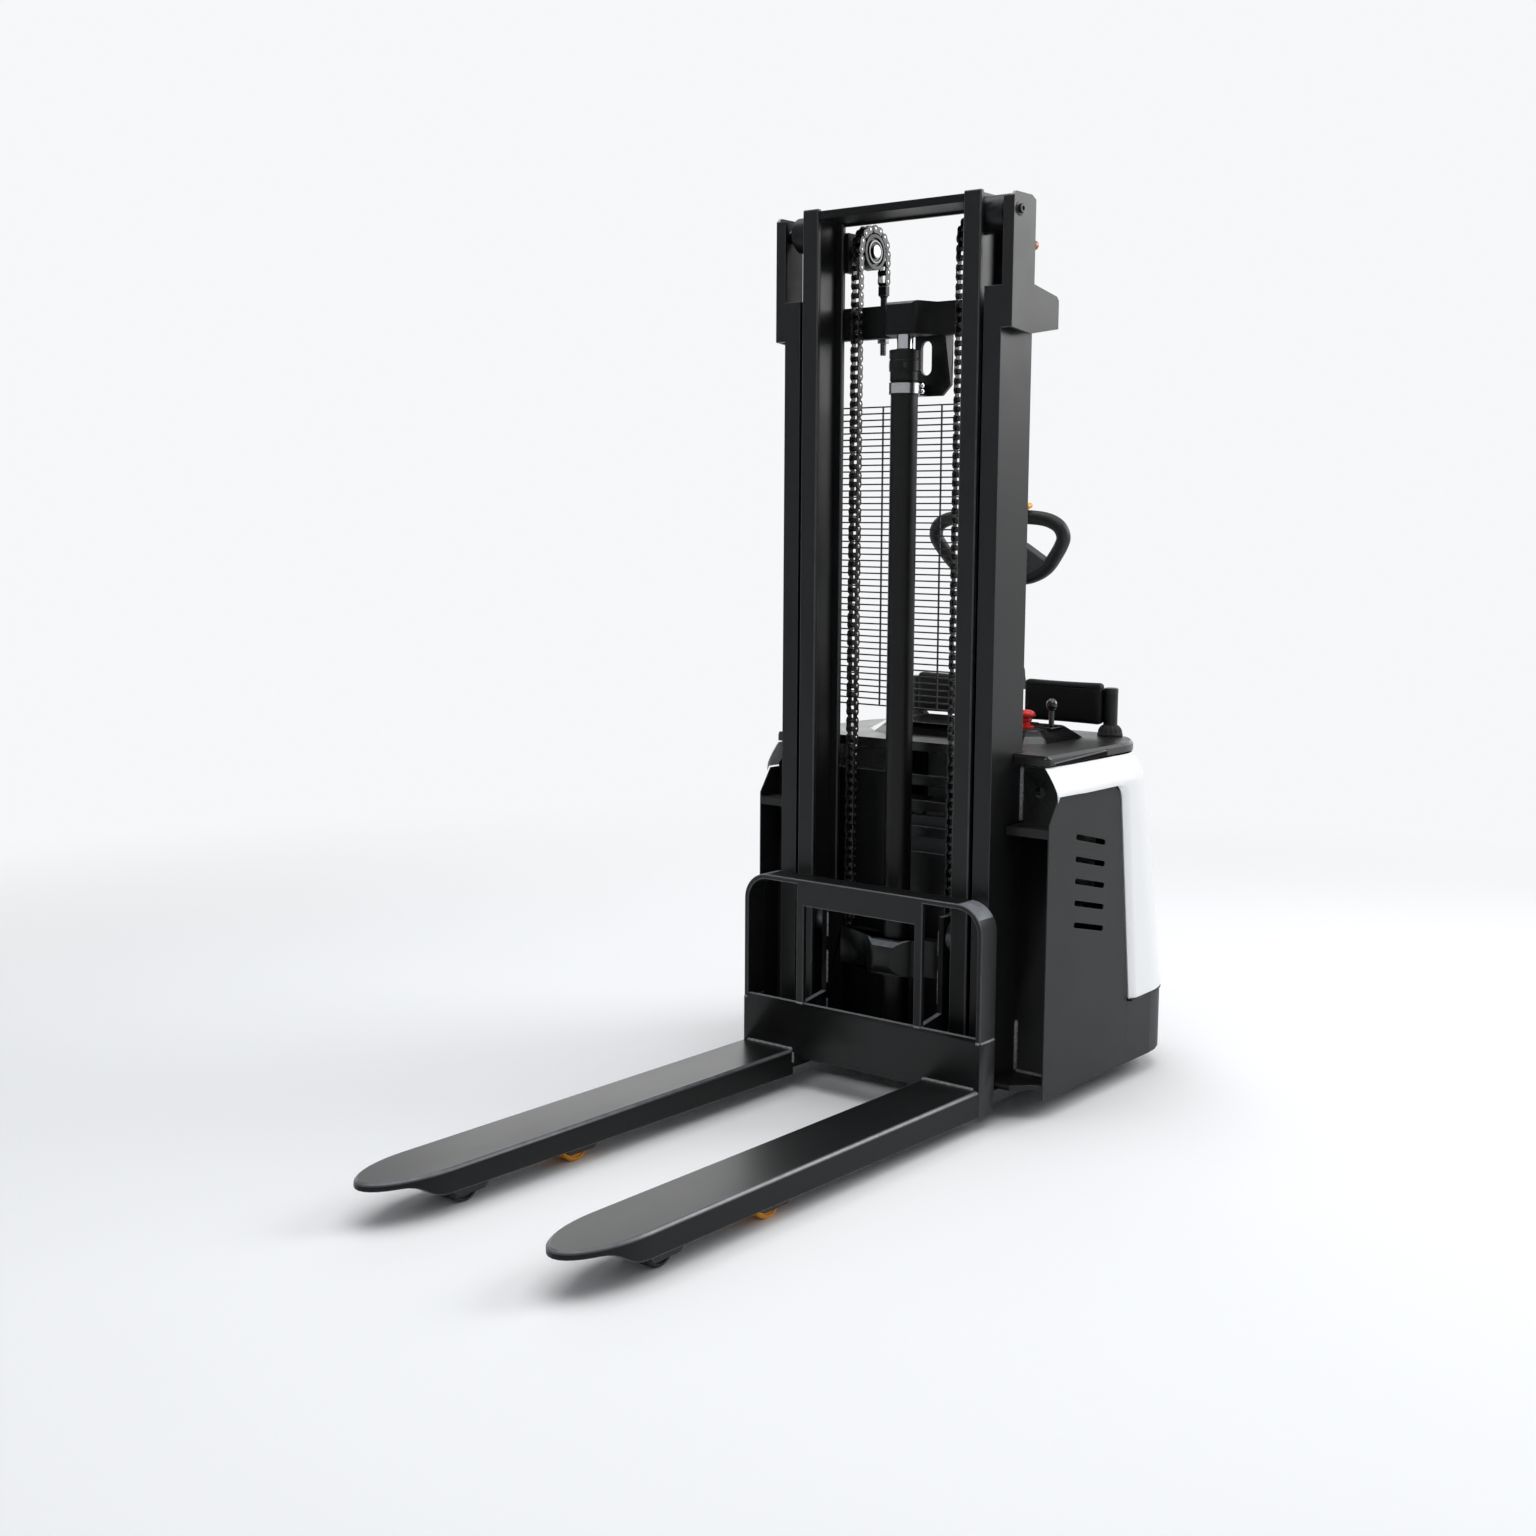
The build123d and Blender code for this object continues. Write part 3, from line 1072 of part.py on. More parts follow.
def guard_arm():
    """Right guard: a post turning on its pin and a flat bar behind the pad."""
    bottom = cover_top + GUARD_BOOT_HEIGHT + SIDE_PLAY / 4
    arm = bar_z(GUARD_ARM_X, DRIVE_Y, GUARD_POST_DIAMETER, bottom, GUARD_POST_TOP)
    middle = (PAD_BOTTOM + PAD_TOP) / 2
    arm += block(
        (PAD_GAP_HALF + PAD_EDGE, GUARD_ARM_X), (DRIVE_Y - GUARD_BAR / 2, DRIVE_Y + GUARD_BAR / 2),
        (middle - GUARD_BAR_HEIGHT / 2, middle + GUARD_BAR_HEIGHT / 2),
    )
    bore = GUARD_PIN_DIAMETER + 2 * RUNNING_FIT
    pin_top = GUARD_POST_TOP - GUARD_PIN_DIAMETER / 2
    return arm - bar_z(GUARD_ARM_X, DRIVE_Y, bore, bottom, pin_top + RUNNING_FIT)


def pad_outline(inset, cut, depth):
    """Outline of the right pad with cut corners, at a depth in front of the bar."""
    start, end = PAD_GAP_HALF + inset, GUARD_ARM_X - GUARD_POST_DIAMETER / 2 - SIDE_PLAY - inset
    low, high = PAD_BOTTOM + inset, PAD_TOP - inset
    points = [
        (start + cut, low), (end - cut, low), (end, low + cut), (end, high - cut),
        (end - cut, high), (start + cut, high), (start, high - cut), (start, low + cut),
    ]
    return Plane.XZ.offset(depth + GUARD_BAR / 2 - DRIVE_Y) * make_face(Polyline(*points, close=True))


def guard_pad():
    """Right pad: a cushion with drawn-in sides and a crowned front, on the front of the bar."""
    swell = PAD_THICK - PAD_CROWN - PAD_EDGE
    # The widest line lies between the drawn-in back and the rounded front.
    back = pad_outline(PAD_DRAW, PAD_EDGE, 0)
    widest = pad_outline(0, PAD_EDGE, swell)
    front = pad_outline(PAD_EDGE, PAD_EDGE, swell + PAD_EDGE)
    crown = pad_outline(PAD_EDGE + PAD_CROWN_SET, PAD_EDGE, PAD_THICK)
    steps = [(back, widest), (widest, front), (front, crown)]
    layers = [loft([low.face(), high.face()], ruled=True) for low, high in steps]
    return layers[0] + layers[1] + layers[2]


def gearbox():
    """Gear case beside the wheel, its axle, and the head that turns in the slewing ring."""
    inner = DRIVE_WHEEL_WIDTH / 2 + SIDE_PLAY
    outer = inner + GEAR_CASE_WIDTH
    centre = DRIVE_WHEEL_DIAMETER / 2
    half = GEAR_CASE_DEPTH / 2
    case = bar_x(DRIVE_Y, centre, GEAR_CASE_DEPTH, inner, outer)
    case += block((inner, outer), (DRIVE_Y - half, DRIVE_Y + half), (centre, GEAR_TOP))
    side = GEAR_TOP_SIDE / 2
    case += block((-side, side), (DRIVE_Y - side, DRIVE_Y + side), (GEAR_TOP - GEAR_TOP_THICK, GEAR_TOP))
    case += facets_z(0, DRIVE_Y, NECK_DIAMETER, GEAR_TOP, bridge_top + SIDE_PLAY)
    return case + bar_x(DRIVE_Y, centre, DRIVE_AXLE_DIAMETER, -DRIVE_WHEEL_WIDTH / 2, inner)


def drive_wheel():
    """Drive wheel with a solid tread."""
    half = DRIVE_WHEEL_WIDTH / 2
    centre = DRIVE_WHEEL_DIAMETER / 2
    return roller_x(DRIVE_Y, centre, DRIVE_WHEEL_DIAMETER, DRIVE_AXLE_DIAMETER, -half, half)


def drive_motor():
    """Traction motor upright on the gear head, with a narrower brake on top."""
    bottom = bridge_top + SIDE_PLAY
    cap = MOTOR_DIAMETER / 4
    motor = facets_z(0, DRIVE_Y, MOTOR_DIAMETER, bottom, MOTOR_TOP - cap)
    return motor + facets_z(0, DRIVE_Y, MOTOR_DIAMETER - cap, MOTOR_TOP - cap, MOTOR_TOP)


def steering_column():
    """Column on the motor, with the two cheeks and the pin of the tiller's tilt."""
    yoke_base = PIVOT_HEIGHT - ARM_HUB / 2 - SIDE_PLAY - PIVOT_YOKE_BASE
    column = bar_z(0, DRIVE_Y, COLUMN_DIAMETER, MOTOR_TOP, yoke_base)
    inner = ARM_DIAMETER / 2 + SIDE_PLAY
    outer = inner + PIVOT_CHEEK
    half = PIVOT_CHEEK_DEPTH / 2
    depth = (DRIVE_Y - half, DRIVE_Y + half)
    column += block((-outer, outer), depth, (yoke_base, yoke_base + PIVOT_YOKE_BASE))
    cheek = block((inner, outer), depth, (yoke_base, PIVOT_HEIGHT))
    cheek += bar_x(DRIVE_Y, PIVOT_HEIGHT, PIVOT_CHEEK_DEPTH, inner, outer)
    column += cheek + mirrored(cheek)
    return column + bar_x(DRIVE_Y, PIVOT_HEIGHT, PIVOT_DIAMETER, -outer, outer)


def tiller_arm():
    """Arm of the tiller: a hub on the pivot pin and a tube up to the head."""
    arm = Rot(0, 90, 0) * Cylinder(ARM_HUB / 2, ARM_DIAMETER)
    arm += bar_z(0, 0, ARM_DIAMETER - 2 * SIDE_PLAY, 0, LOOP_LOW - LOOP_TUBE / 2)
    arm -= Rot(0, 90, 0) * Cylinder(PIVOT_DIAMETER / 2 + RUNNING_FIT, ARM_DIAMETER)
    return arm_frame * arm


def loop_outline(reach):
    """Outline of the loop, grown from its middle line by a reach."""
    height = LOOP_HIGH - LOOP_LOW
    points = [(LOOP_HALF * across, LOOP_LOW + height * along) for across, along in LOOP_LINE]
    return offset(make_face(Polyline(*even(points), close=True)), reach, kind=Kind.INTERSECTION)


def tiller_head():
    """Bent loop with a panel across its lower half and the seats of its controls."""
    tube = LOOP_TUBE / 2
    head = extrude(Plane.XZ.offset(-tube) * (loop_outline(tube) - loop_outline(-tube)), LOOP_TUBE)
    faces = head.faces().sort_by(Axis.Y)
    head = chamfer(faces[0].edges() + faces[-1].edges(), LOOP_CUT)
    half = HEAD_PANEL_THICK / 2
    low_half = LOOP_HALF / 2
    head += plate_y(
        [(low_half, LOOP_LOW + tube / 2), (HEAD_PANEL_SIDE_HALF, HEAD_PANEL_SIDE),
         (HEAD_PANEL_TOP_HALF, HEAD_PANEL_TOP), (-HEAD_PANEL_TOP_HALF, HEAD_PANEL_TOP),
         (-HEAD_PANEL_SIDE_HALF, HEAD_PANEL_SIDE), (-low_half, LOOP_LOW + tube / 2)],
        -half, half,
    )
    collar = ARM_DIAMETER / 2
    head += block((-collar, collar), (-half, half), (LOOP_LOW - tube, LOOP_LOW + tube))
    # Pocket of the belly button in the upper tube.
    stem = BELLY_STEM / 2 + CONTROL_GAP
    pocket_half = BELLY_HALF - BELLY_HEIGHT + CONTROL_GAP
    head -= block((-pocket_half, pocket_half), (-stem, stem), (LOOP_HIGH, LOOP_HIGH + LOOP_TUBE))
    head += control_seat(WING_ROCKER_ALONG) + control_seat(ROCKER_ALONG)
    horn = HORN_SIDE / 2 + CONTROL_GAP
    head -= block(
        (HORN_X - horn, HORN_X + horn), (half / 2, half), (ROCKER_ALONG - horn, ROCKER_ALONG + horn)
    )
    return arm_frame * head


def control_seat(along):
    """Two lugs and a cross pin on the operator's side of the panel, in the arm's frame."""
    half = HEAD_PANEL_THICK / 2
    axle = half + CONTROL_PIN + SIDE_PLAY
    lug = block(
        (ROCKER_HALF + SIDE_PLAY, ROCKER_HALF + SIDE_PLAY + CONTROL_LUG), (half, axle + CONTROL_PIN),
        (along - CONTROL_PIN, along + CONTROL_PIN),
    )
    end = ROCKER_HALF + SIDE_PLAY
    return lug + mirrored(lug) + bar_x(axle, along, CONTROL_PIN, -end, end)


def control_key(along, height):
    """Key on the cross pin of a control seat, in the arm's frame."""
    axle = HEAD_PANEL_THICK / 2 + CONTROL_PIN + SIDE_PLAY
    key = block(
        (-ROCKER_HALF, ROCKER_HALF), (axle - CONTROL_PIN, axle + 2 * CONTROL_PIN),
        (along - height / 2, along + height / 2),
    )
    return key - bar_x(axle, along, CONTROL_PIN + 2 * RUNNING_FIT, -ROCKER_HALF, ROCKER_HALF)


def belly_button():
    """Wide button on top of the loop, with a stem in its pocket."""
    top = LOOP_HIGH + LOOP_TUBE / 2 + BELLY_TRAVEL
    stem_bottom = LOOP_HIGH + BELLY_TRAVEL + CONTROL_GAP
    stem_half = BELLY_HALF - BELLY_HEIGHT
    half, cut = BELLY_HALF, BELLY_DEPTH / 3
    depth = BELLY_DEPTH / 2
    outline = even([(half - cut, -depth), (half, cut - depth), (half, depth - cut), (half - cut, depth)])
    cap = plate_z(outline, top, top + BELLY_HEIGHT)
    cap = chamfer(cap.faces().sort_by(Axis.Z)[-1].edges(), BELLY_CUT)
    stem = block((-stem_half, stem_half), (-BELLY_STEM / 2, BELLY_STEM / 2), (stem_bottom, top))
    return arm_frame * (cap + stem)


def throttle_wings():
    """Butterfly throttle: a key on its cross pin with a wing on either side, clear of the lugs."""
    axle = HEAD_PANEL_THICK / 2 + CONTROL_PIN + SIDE_PLAY
    key = control_key(WING_ROCKER_ALONG, 2 * CONTROL_PIN)
    half = WING_ROCKER_HEIGHT / 2
    span = WING_ROCKER_SPAN / 2
    low = axle + CONTROL_PIN + SIDE_PLAY
    wings = block(
        (-span, span), (low, low + CONTROL_PIN), (WING_ROCKER_ALONG - half, WING_ROCKER_ALONG + half)
    )
    return arm_frame * (key + wings)


def lift_rocker():
    """Lift and lower rocker on its own cross pin below the throttle."""
    return arm_frame * control_key(ROCKER_ALONG, LIFT_ROCKER_HEIGHT)


def horn_button():
    """Small square button in its recess on the panel."""
    half = HEAD_PANEL_THICK / 2
    side = HORN_SIDE / 2
    floor = half / 2 + HORN_TRAVEL + CONTROL_GAP
    return arm_frame * block(
        (HORN_X - side, HORN_X + side), (floor, half + HORN_TRAVEL),
        (ROCKER_ALONG - side, ROCKER_ALONG + side),
    )


def castor_fork():
    """Right castor fork: stem, head plate and two legs with the wheel axle, trailing to the rear."""
    top = RAIL_BOTTOM - SIDE_PLAY / 2
    plate_bottom = top - CASTOR_FORK_PLATE
    side = CASTOR_HEAD / 2
    head = block(
        (CASTOR_X - side, CASTOR_X + side), (CASTOR_Y - side, CASTOR_Y + side), (plate_bottom, top)
    )
    head += bar_z(CASTOR_X, CASTOR_Y, CASTOR_STEM_DIAMETER, top, RAIL_BOTTOM + CASTOR_PLATE)
    inner = CASTOR_WHEEL_WIDTH / 2 + SIDE_PLAY
    axle_y = CASTOR_Y + CASTOR_TRAIL
    axle_z = CASTOR_WHEEL_DIAMETER / 2
    reach = CASTOR_HEAD / 4
    leg = plate_x(
        [(CASTOR_Y - reach, plate_bottom), (axle_y - CASTOR_AXLE_DIAMETER, axle_z - CASTOR_AXLE_DIAMETER),
         (axle_y + CASTOR_AXLE_DIAMETER, axle_z - CASTOR_AXLE_DIAMETER), (CASTOR_Y + reach, plate_bottom)],
        inner, inner + CASTOR_FORK_PLATE,
    )
    end = inner + CASTOR_FORK_PLATE
    axle = bar_x(axle_y, axle_z, CASTOR_AXLE_DIAMETER, -end, end)
    return head + Pos(CASTOR_X, 0, 0) * (leg + mirrored(leg) + axle)


def castor_wheel():
    """Right castor wheel."""
    half = CASTOR_WHEEL_WIDTH / 2
    return roller_x(
        CASTOR_Y + CASTOR_TRAIL, CASTOR_WHEEL_DIAMETER / 2, CASTOR_WHEEL_DIAMETER, CASTOR_AXLE_DIAMETER,
        CASTOR_X - half, CASTOR_X + half,
    )


def platform():
    """Rider platform folded up: a tray with round rear corners and two hinge barrels."""
    end = PLATFORM_SET + PLATFORM_LENGTH
    half = PLATFORM_THICK / 2
    tray = extrude(round_rear(PLATFORM_HALF, PLATFORM_SET, end, PLATFORM_CORNER, -half), PLATFORM_THICK)
    barrel_end = PLATFORM_LUG_X - SIDE_PLAY
    start = barrel_end - PLATFORM_BARREL_LENGTH
    sleeve = Plane.YZ * RegularPolygon(PLATFORM_BARREL / 2, TUBE_SIDES)
    barrel = Pos(start, 0, 0) * extrude(sleeve, PLATFORM_BARREL_LENGTH, dir=(1, 0, 0))
    barrel += block((start, barrel_end), (0, PLATFORM_SET), (-half, half))
    tray += barrel + mirrored(barrel)
    tray -= bar_x(0, 0, PLATFORM_PIN + 2 * RUNNING_FIT, -barrel_end, barrel_end)
    return Pos(0, hinge_y, PLATFORM_HINGE_HEIGHT) * Rot(90 + PLATFORM_LEAN, 0, 0) * tray


def emergency_stop():
    """Mushroom button in its bore."""
    stem_bottom = console_top - STOP_DEPTH + STOP_TRAVEL
    head_bottom = STOP_TOP - STOP_HEAD_HEIGHT
    brim = head_bottom + STOP_HEAD_HEIGHT / 2
    stem = facets_z(STOP_X, STOP_Y, STOP_STEM, stem_bottom, head_bottom)
    head = facets_z(STOP_X, STOP_Y, STOP_HEAD, head_bottom, brim)
    return stem + head + facets_z(STOP_X, STOP_Y, STOP_HEAD, brim, STOP_TOP, STOP_DOME)


def control_lever():
    """Ball lever: a stem in its slot and a ball of flat facets."""
    pivot = console_top - LEVER_PIVOT_DEPTH
    radius = LEVER_BALL / 2
    belt = radius * math.sin(math.pi / 8)
    cap = radius * math.sin(3 * math.pi / 8)
    slope = LEVER_BALL_LEAN
    lever = facets_z(LEVER_X, LEVER_Y, LEVER_STEM, pivot, LEVER_BALL_HEIGHT - belt)
    middle = LEVER_BALL_HEIGHT
    lever += facets_z(LEVER_X, LEVER_Y, LEVER_BALL, middle - belt, middle + belt)
    lever += facets_z(LEVER_X, LEVER_Y, LEVER_BALL, middle + belt, middle + cap, slope)
    crown = mirror(
        facets_z(LEVER_X, LEVER_Y, LEVER_BALL, belt, cap, slope), about=Plane.XY
    )
    return lever + Pos(0, 0, LEVER_BALL_HEIGHT) * crown


def battery():
    """Battery trough with a row of cell lids."""
    front = wall_rear + BATTERY_GAP
    rear = front + BATTERY_LENGTH
    pack = block((-BATTERY_HALF, BATTERY_HALF), (front, rear), (base_top, BATTERY_TOP))
    pitch = 2 * BATTERY_HALF / BATTERY_CELLS
    for number in range(BATTERY_CELLS):
        low = -BATTERY_HALF + number * pitch
        pack += block(
            (low + BATTERY_GAP / 2, low + pitch - BATTERY_GAP / 2),
            (front + BATTERY_GAP, rear - BATTERY_GAP),
            (BATTERY_TOP, BATTERY_TOP + BATTERY_GAP),
        )
    return pack


def pump_unit():
    """Hydraulic tank with the pump motor upright on it."""
    tank_top = bridge_top + PUMP_TANK_HEIGHT
    unit = block(
        (-UNIT_X - PUMP_WIDTH, -UNIT_X), (UNIT_Y, UNIT_Y + PUMP_DEPTH), (bridge_top, tank_top)
    )
    middle = (-UNIT_X - PUMP_WIDTH / 2, UNIT_Y + PUMP_DEPTH / 2)
    return unit + facets_z(*middle, PUMP_MOTOR_DIAMETER, tank_top, tank_top + PUMP_MOTOR_HEIGHT)


def motor_controller():
    """Controller with cooling fins on top."""
    top = bridge_top + CONTROLLER_HEIGHT
    unit = block((UNIT_X, UNIT_X + CONTROLLER_WIDTH), (UNIT_Y, UNIT_Y + PUMP_DEPTH), (bridge_top, top))
    pitch = CONTROLLER_WIDTH / CONTROLLER_FINS
    for number in range(CONTROLLER_FINS):
        low = UNIT_X + (number + 0.25) * pitch
        unit -= block((low, low + pitch / 2), (UNIT_Y, UNIT_Y + PUMP_DEPTH), (top - pitch / 2, top))
    return unit


def save(name, shape):
    """Write one named piece, or one group of separate solids, in the truck's own frame."""
    solids = shape if isinstance(shape, list) else [shape]
    moved = [Pos(0, y_shift, 0) * solid for solid in solids]
    group = moved[0] if len(moved) == 1 else Compound(children=moved)
    export_step(group, f"parts/{name}.step")


def pair(name, shape):
    """Write the right piece and its mirror image as two nodes."""
    save(f"{name}_right", shape)
    save(f"{name}_left", mirrored(shape))


def main():
    os.makedirs("parts", exist_ok=True)

    # Chassis and what is fixed to it
    save("chassis_frame", chassis_frame())
    save("drive_bridge", drive_bridge())
    pair("support_leg", support_leg())
    pair("outer_mast", outer_channel())
    save("outer_mast_ties", outer_ties())
    save("mast_guard", mast_guard())
    save("lift_cylinder", lift_cylinder())
    save("chain_anchor_rods", both(anchor_rod()))
    pair("side_panel", side_panel())
    save("hood", hood())
    save("top_cover", top_cover())
    save("rear_skirt", rear_skirt())
    save("guard_arm_boots", both(guard_boot()))
    save("battery", battery())
    save("pump_unit", pump_unit())
    save("motor_controller", motor_controller())

    # Rolling gear
    load_y, tip_y = leg_rollers()
    pair("load_roller", leg_roller(load_y))
    pair("tip_roller", leg_roller(tip_y))
    pair("castor_fork", castor_fork())
    pair("castor_wheel", castor_wheel())
    save("drive_gearbox", gearbox())
    save("drive_motor", drive_motor())
    save("drive_wheel", drive_wheel())

    # Inner mast
    pair("inner_mast", inner_post())
    save("inner_mast_ties", inner_ties())
    save("piston_rod", piston_rod())
    save("chain_rollers", both(chain_roller()))
    save(
        "outer_mast_rollers",
        mast_rollers(
            head_roller_height, post_roller_radius, post_axis, post_web_outer + SIDE_PLAY, channel_web_inner
        ),
    )
    save(
        "inner_mast_rollers",
        mast_rollers(
            POST_ROLLER_HEIGHT, channel_roller_radius, channel_axis,
            channel_inner + SIDE_PLAY, channel_web_inner - SIDE_PLAY,
        ),
    )

    # Carriage
    pair("fork", fork())
    save("carriage_frame", carriage_frame())
    save("load_backrest", load_backrest())
    start, end = roller_plate_outer + SIDE_PLAY, post_web_inner - SIDE_PLAY
    for name, height in (("lower", CARRIAGE_ROLLER_LOW), ("upper", CARRIAGE_ROLLER_HIGH)):
        rollers = mast_rollers(height, post_roller_radius, post_axis, start, end)
        save(f"carriage_rollers_{name}", rollers)

    # Chains
    wrap_end = CHAIN_FRONT_LINKS + CHAIN_WRAP_LINKS
    for name, first, last in (
        ("lift_chain_fronts", 0, CHAIN_FRONT_LINKS),
        ("lift_chain_tops", CHAIN_FRONT_LINKS, wrap_end + CHAIN_REAR_LINKS),
    ):
        links = chain_pieces(first, last)
        save(name, links + [mirrored(link) for link in links])

    # Steering and controls
    save("steering_column", steering_column())
    save("tiller_arm", tiller_arm())
    save("tiller_head", tiller_head())
    save("belly_button", belly_button())
    save("throttle_wings", throttle_wings())
    save("lift_rocker", lift_rocker())
    save("horn_button", horn_button())
    save("emergency_stop", emergency_stop())
    save("control_lever", control_lever())

    # Rider guards and platform
    pair("guard_arm", guard_arm())
    pair("guard_pad", guard_pad())
    save("platform", platform())


main()
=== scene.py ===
import json
import math

import bmesh
import bpy
from bpy.props import FloatProperty, FloatVectorProperty, IntProperty, PointerProperty
from mathutils import Matrix, Vector


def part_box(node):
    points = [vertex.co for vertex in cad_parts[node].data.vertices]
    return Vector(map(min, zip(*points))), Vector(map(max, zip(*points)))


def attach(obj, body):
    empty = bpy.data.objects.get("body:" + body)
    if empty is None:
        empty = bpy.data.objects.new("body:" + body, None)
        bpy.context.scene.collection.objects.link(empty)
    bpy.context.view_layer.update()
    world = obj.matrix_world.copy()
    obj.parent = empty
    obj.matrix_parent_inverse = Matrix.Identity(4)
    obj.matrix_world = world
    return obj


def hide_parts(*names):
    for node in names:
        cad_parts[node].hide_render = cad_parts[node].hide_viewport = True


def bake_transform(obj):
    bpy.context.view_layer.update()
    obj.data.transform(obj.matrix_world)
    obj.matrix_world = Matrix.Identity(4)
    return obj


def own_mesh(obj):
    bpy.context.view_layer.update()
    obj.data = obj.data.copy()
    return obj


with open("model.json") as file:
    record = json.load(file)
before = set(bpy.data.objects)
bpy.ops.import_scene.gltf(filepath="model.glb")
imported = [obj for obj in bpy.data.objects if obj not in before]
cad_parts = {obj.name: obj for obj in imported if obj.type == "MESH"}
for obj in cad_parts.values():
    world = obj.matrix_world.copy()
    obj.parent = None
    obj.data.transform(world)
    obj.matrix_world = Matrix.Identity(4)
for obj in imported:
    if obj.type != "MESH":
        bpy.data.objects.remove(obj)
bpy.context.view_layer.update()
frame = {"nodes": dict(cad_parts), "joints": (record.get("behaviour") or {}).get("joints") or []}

bl_info = {
    "name": "Electric stacker",
    "version": (1, 0, 0),
    "blender": (4, 5, 0),
    "location": "View3D > Sidebar > Stacker",
    "description": "Dresses the packed electric stacker: paint, hood, chains, rollers, pads and tiller",
    "category": "Object",
}

# Shapes are drawn in millimetres, counted along Y from the front face of the fork heel.
NODES = frame["nodes"]
JOINTS = {joint["name"]: joint for joint in frame["joints"]}
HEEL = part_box("carriage_frame")[0].y
ALONG_X = Matrix.Rotation(math.radians(90), 4, "Y")
SIDES = (("left", -1), ("right", 1))


def drawn(point):
    """A point of the frame, in the millimetres that shapes are drawn in."""
    x, y, z = point
    return Vector((x * 1000, (y - HEEL) * 1000, z * 1000))


def hinge_of(joint):
    """Where a joint's pin lies, as drawn."""
    return drawn(JOINTS[joint]["pos_m"])


def node_box(node):
    """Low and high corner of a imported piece, as drawn."""
    low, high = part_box(node)
    return drawn(low), drawn(high)


FORK_LOW, FORK_HIGH = node_box("fork_right")
COVER_LOW, COVER_HIGH = node_box("top_cover")
TILT = hinge_of("tiller_tilt")
ARM_LEAN = math.radians(12.8)
ARM = Matrix.Translation(TILT) @ Matrix.Rotation(ARM_LEAN, 4, "X")
LIFT = JOINTS["mast_lift"]["range_m"][1] * 1000

# Lift chains, counted in pitches from the carriage up, over the wheel and down to the anchor.
WHEEL = hinge_of("chain_roller_spin")
WHEEL_WIDTH = 24.0
CHAIN_PITCH = 19.05
CHAIN_X = 133.0
FRONT_PITCHES, TURN_PITCHES, REAR_PITCHES = 77, 8, 3
CHAIN_RADIUS = CHAIN_PITCH / 2 / math.sin(math.pi / 2 / TURN_PITCHES)

# Upright edges of the ties that are drawn in towards the cylinder: distance from the middle and place along Y,
# then the new ones. The front corners are then rounded: place and radius.
TIE_BENDS = ((103.9, 141.2, 72, 141.2), (103.9, 169.2, 65, 169.2), (38, 102, 37, 102), (38, 88, 40, 88))
TIE_CORNERS = ((40, 88, 30),)
YOKE_BENDS = ((75, 179, 57, 179), (75, 191, 57, 191), (63.9, 179, 45, 179), (38, 124, 36, 120), (35, 136, 32, 132))
YOKE_CORNERS = ((36, 120, 12),)

# Painted highlight along rounded edges: how light it is where an edge faces sideways, and how much more where it
# faces up or down towards the light. A face that looks up and is narrower than this, in millimetres, counts as an
# edge.
SIDE_HIGHLIGHT, TOP_HIGHLIGHT = 0.16, 0.6
LOOKS_UP, NARROW = 0.55, 13

# Bracket at the head of the mast.
BRACKET_SCREW = (298, 104, 1855)
BRACKET_WASHER = (297.4, 104, 1855)
BRACKET_KNOB = (285, 172, 1794)

# Bore of the mast rollers, and each set from its inner to its outer face.
ROLLER_BORE = 14.15
ROLLER_FACES = {
    "outer_mast_rollers": (208.75, 265), "inner_mast_rollers": (234, 263),
    "carriage_rollers_upper": (162, 196.75), "carriage_rollers_lower": (162, 196.75),
}

# Side panel: its sheet, its outline along Y and Z, and its slots.
PANEL_INSIDE, PANEL_SHEET = 377, 3
PANEL_FRONT, PANEL_FOOT, PANEL_CHEST = 138, 48, 627
PANEL_SHOULDER, PANEL_CORNER, PANEL_TAIL = 174, 436, 499
PANEL_TOP, PANEL_ROUND = 680, 34
SLOT_COUNT, SLOT_STEP, SLOT_TILT = 5, 47, math.radians(12.6)
SLOT_FIRST, SLOT_REACH, SLOT_RADIUS = (314, 577), 59, 6

# Hood: heights of its foot, shoulder and top, its half width, and where its sides bend and end in front.
HOOD_FOOT, HOOD_SHOULDER, HOOD_TOP = 195, 684, 745
HOOD_HALF, HOOD_BEND, HOOD_FRONT, HOOD_DRAW_IN = 390.0, 262, 167, 7
HOOD_GAP, HOOD_CREST = 2, 683.2


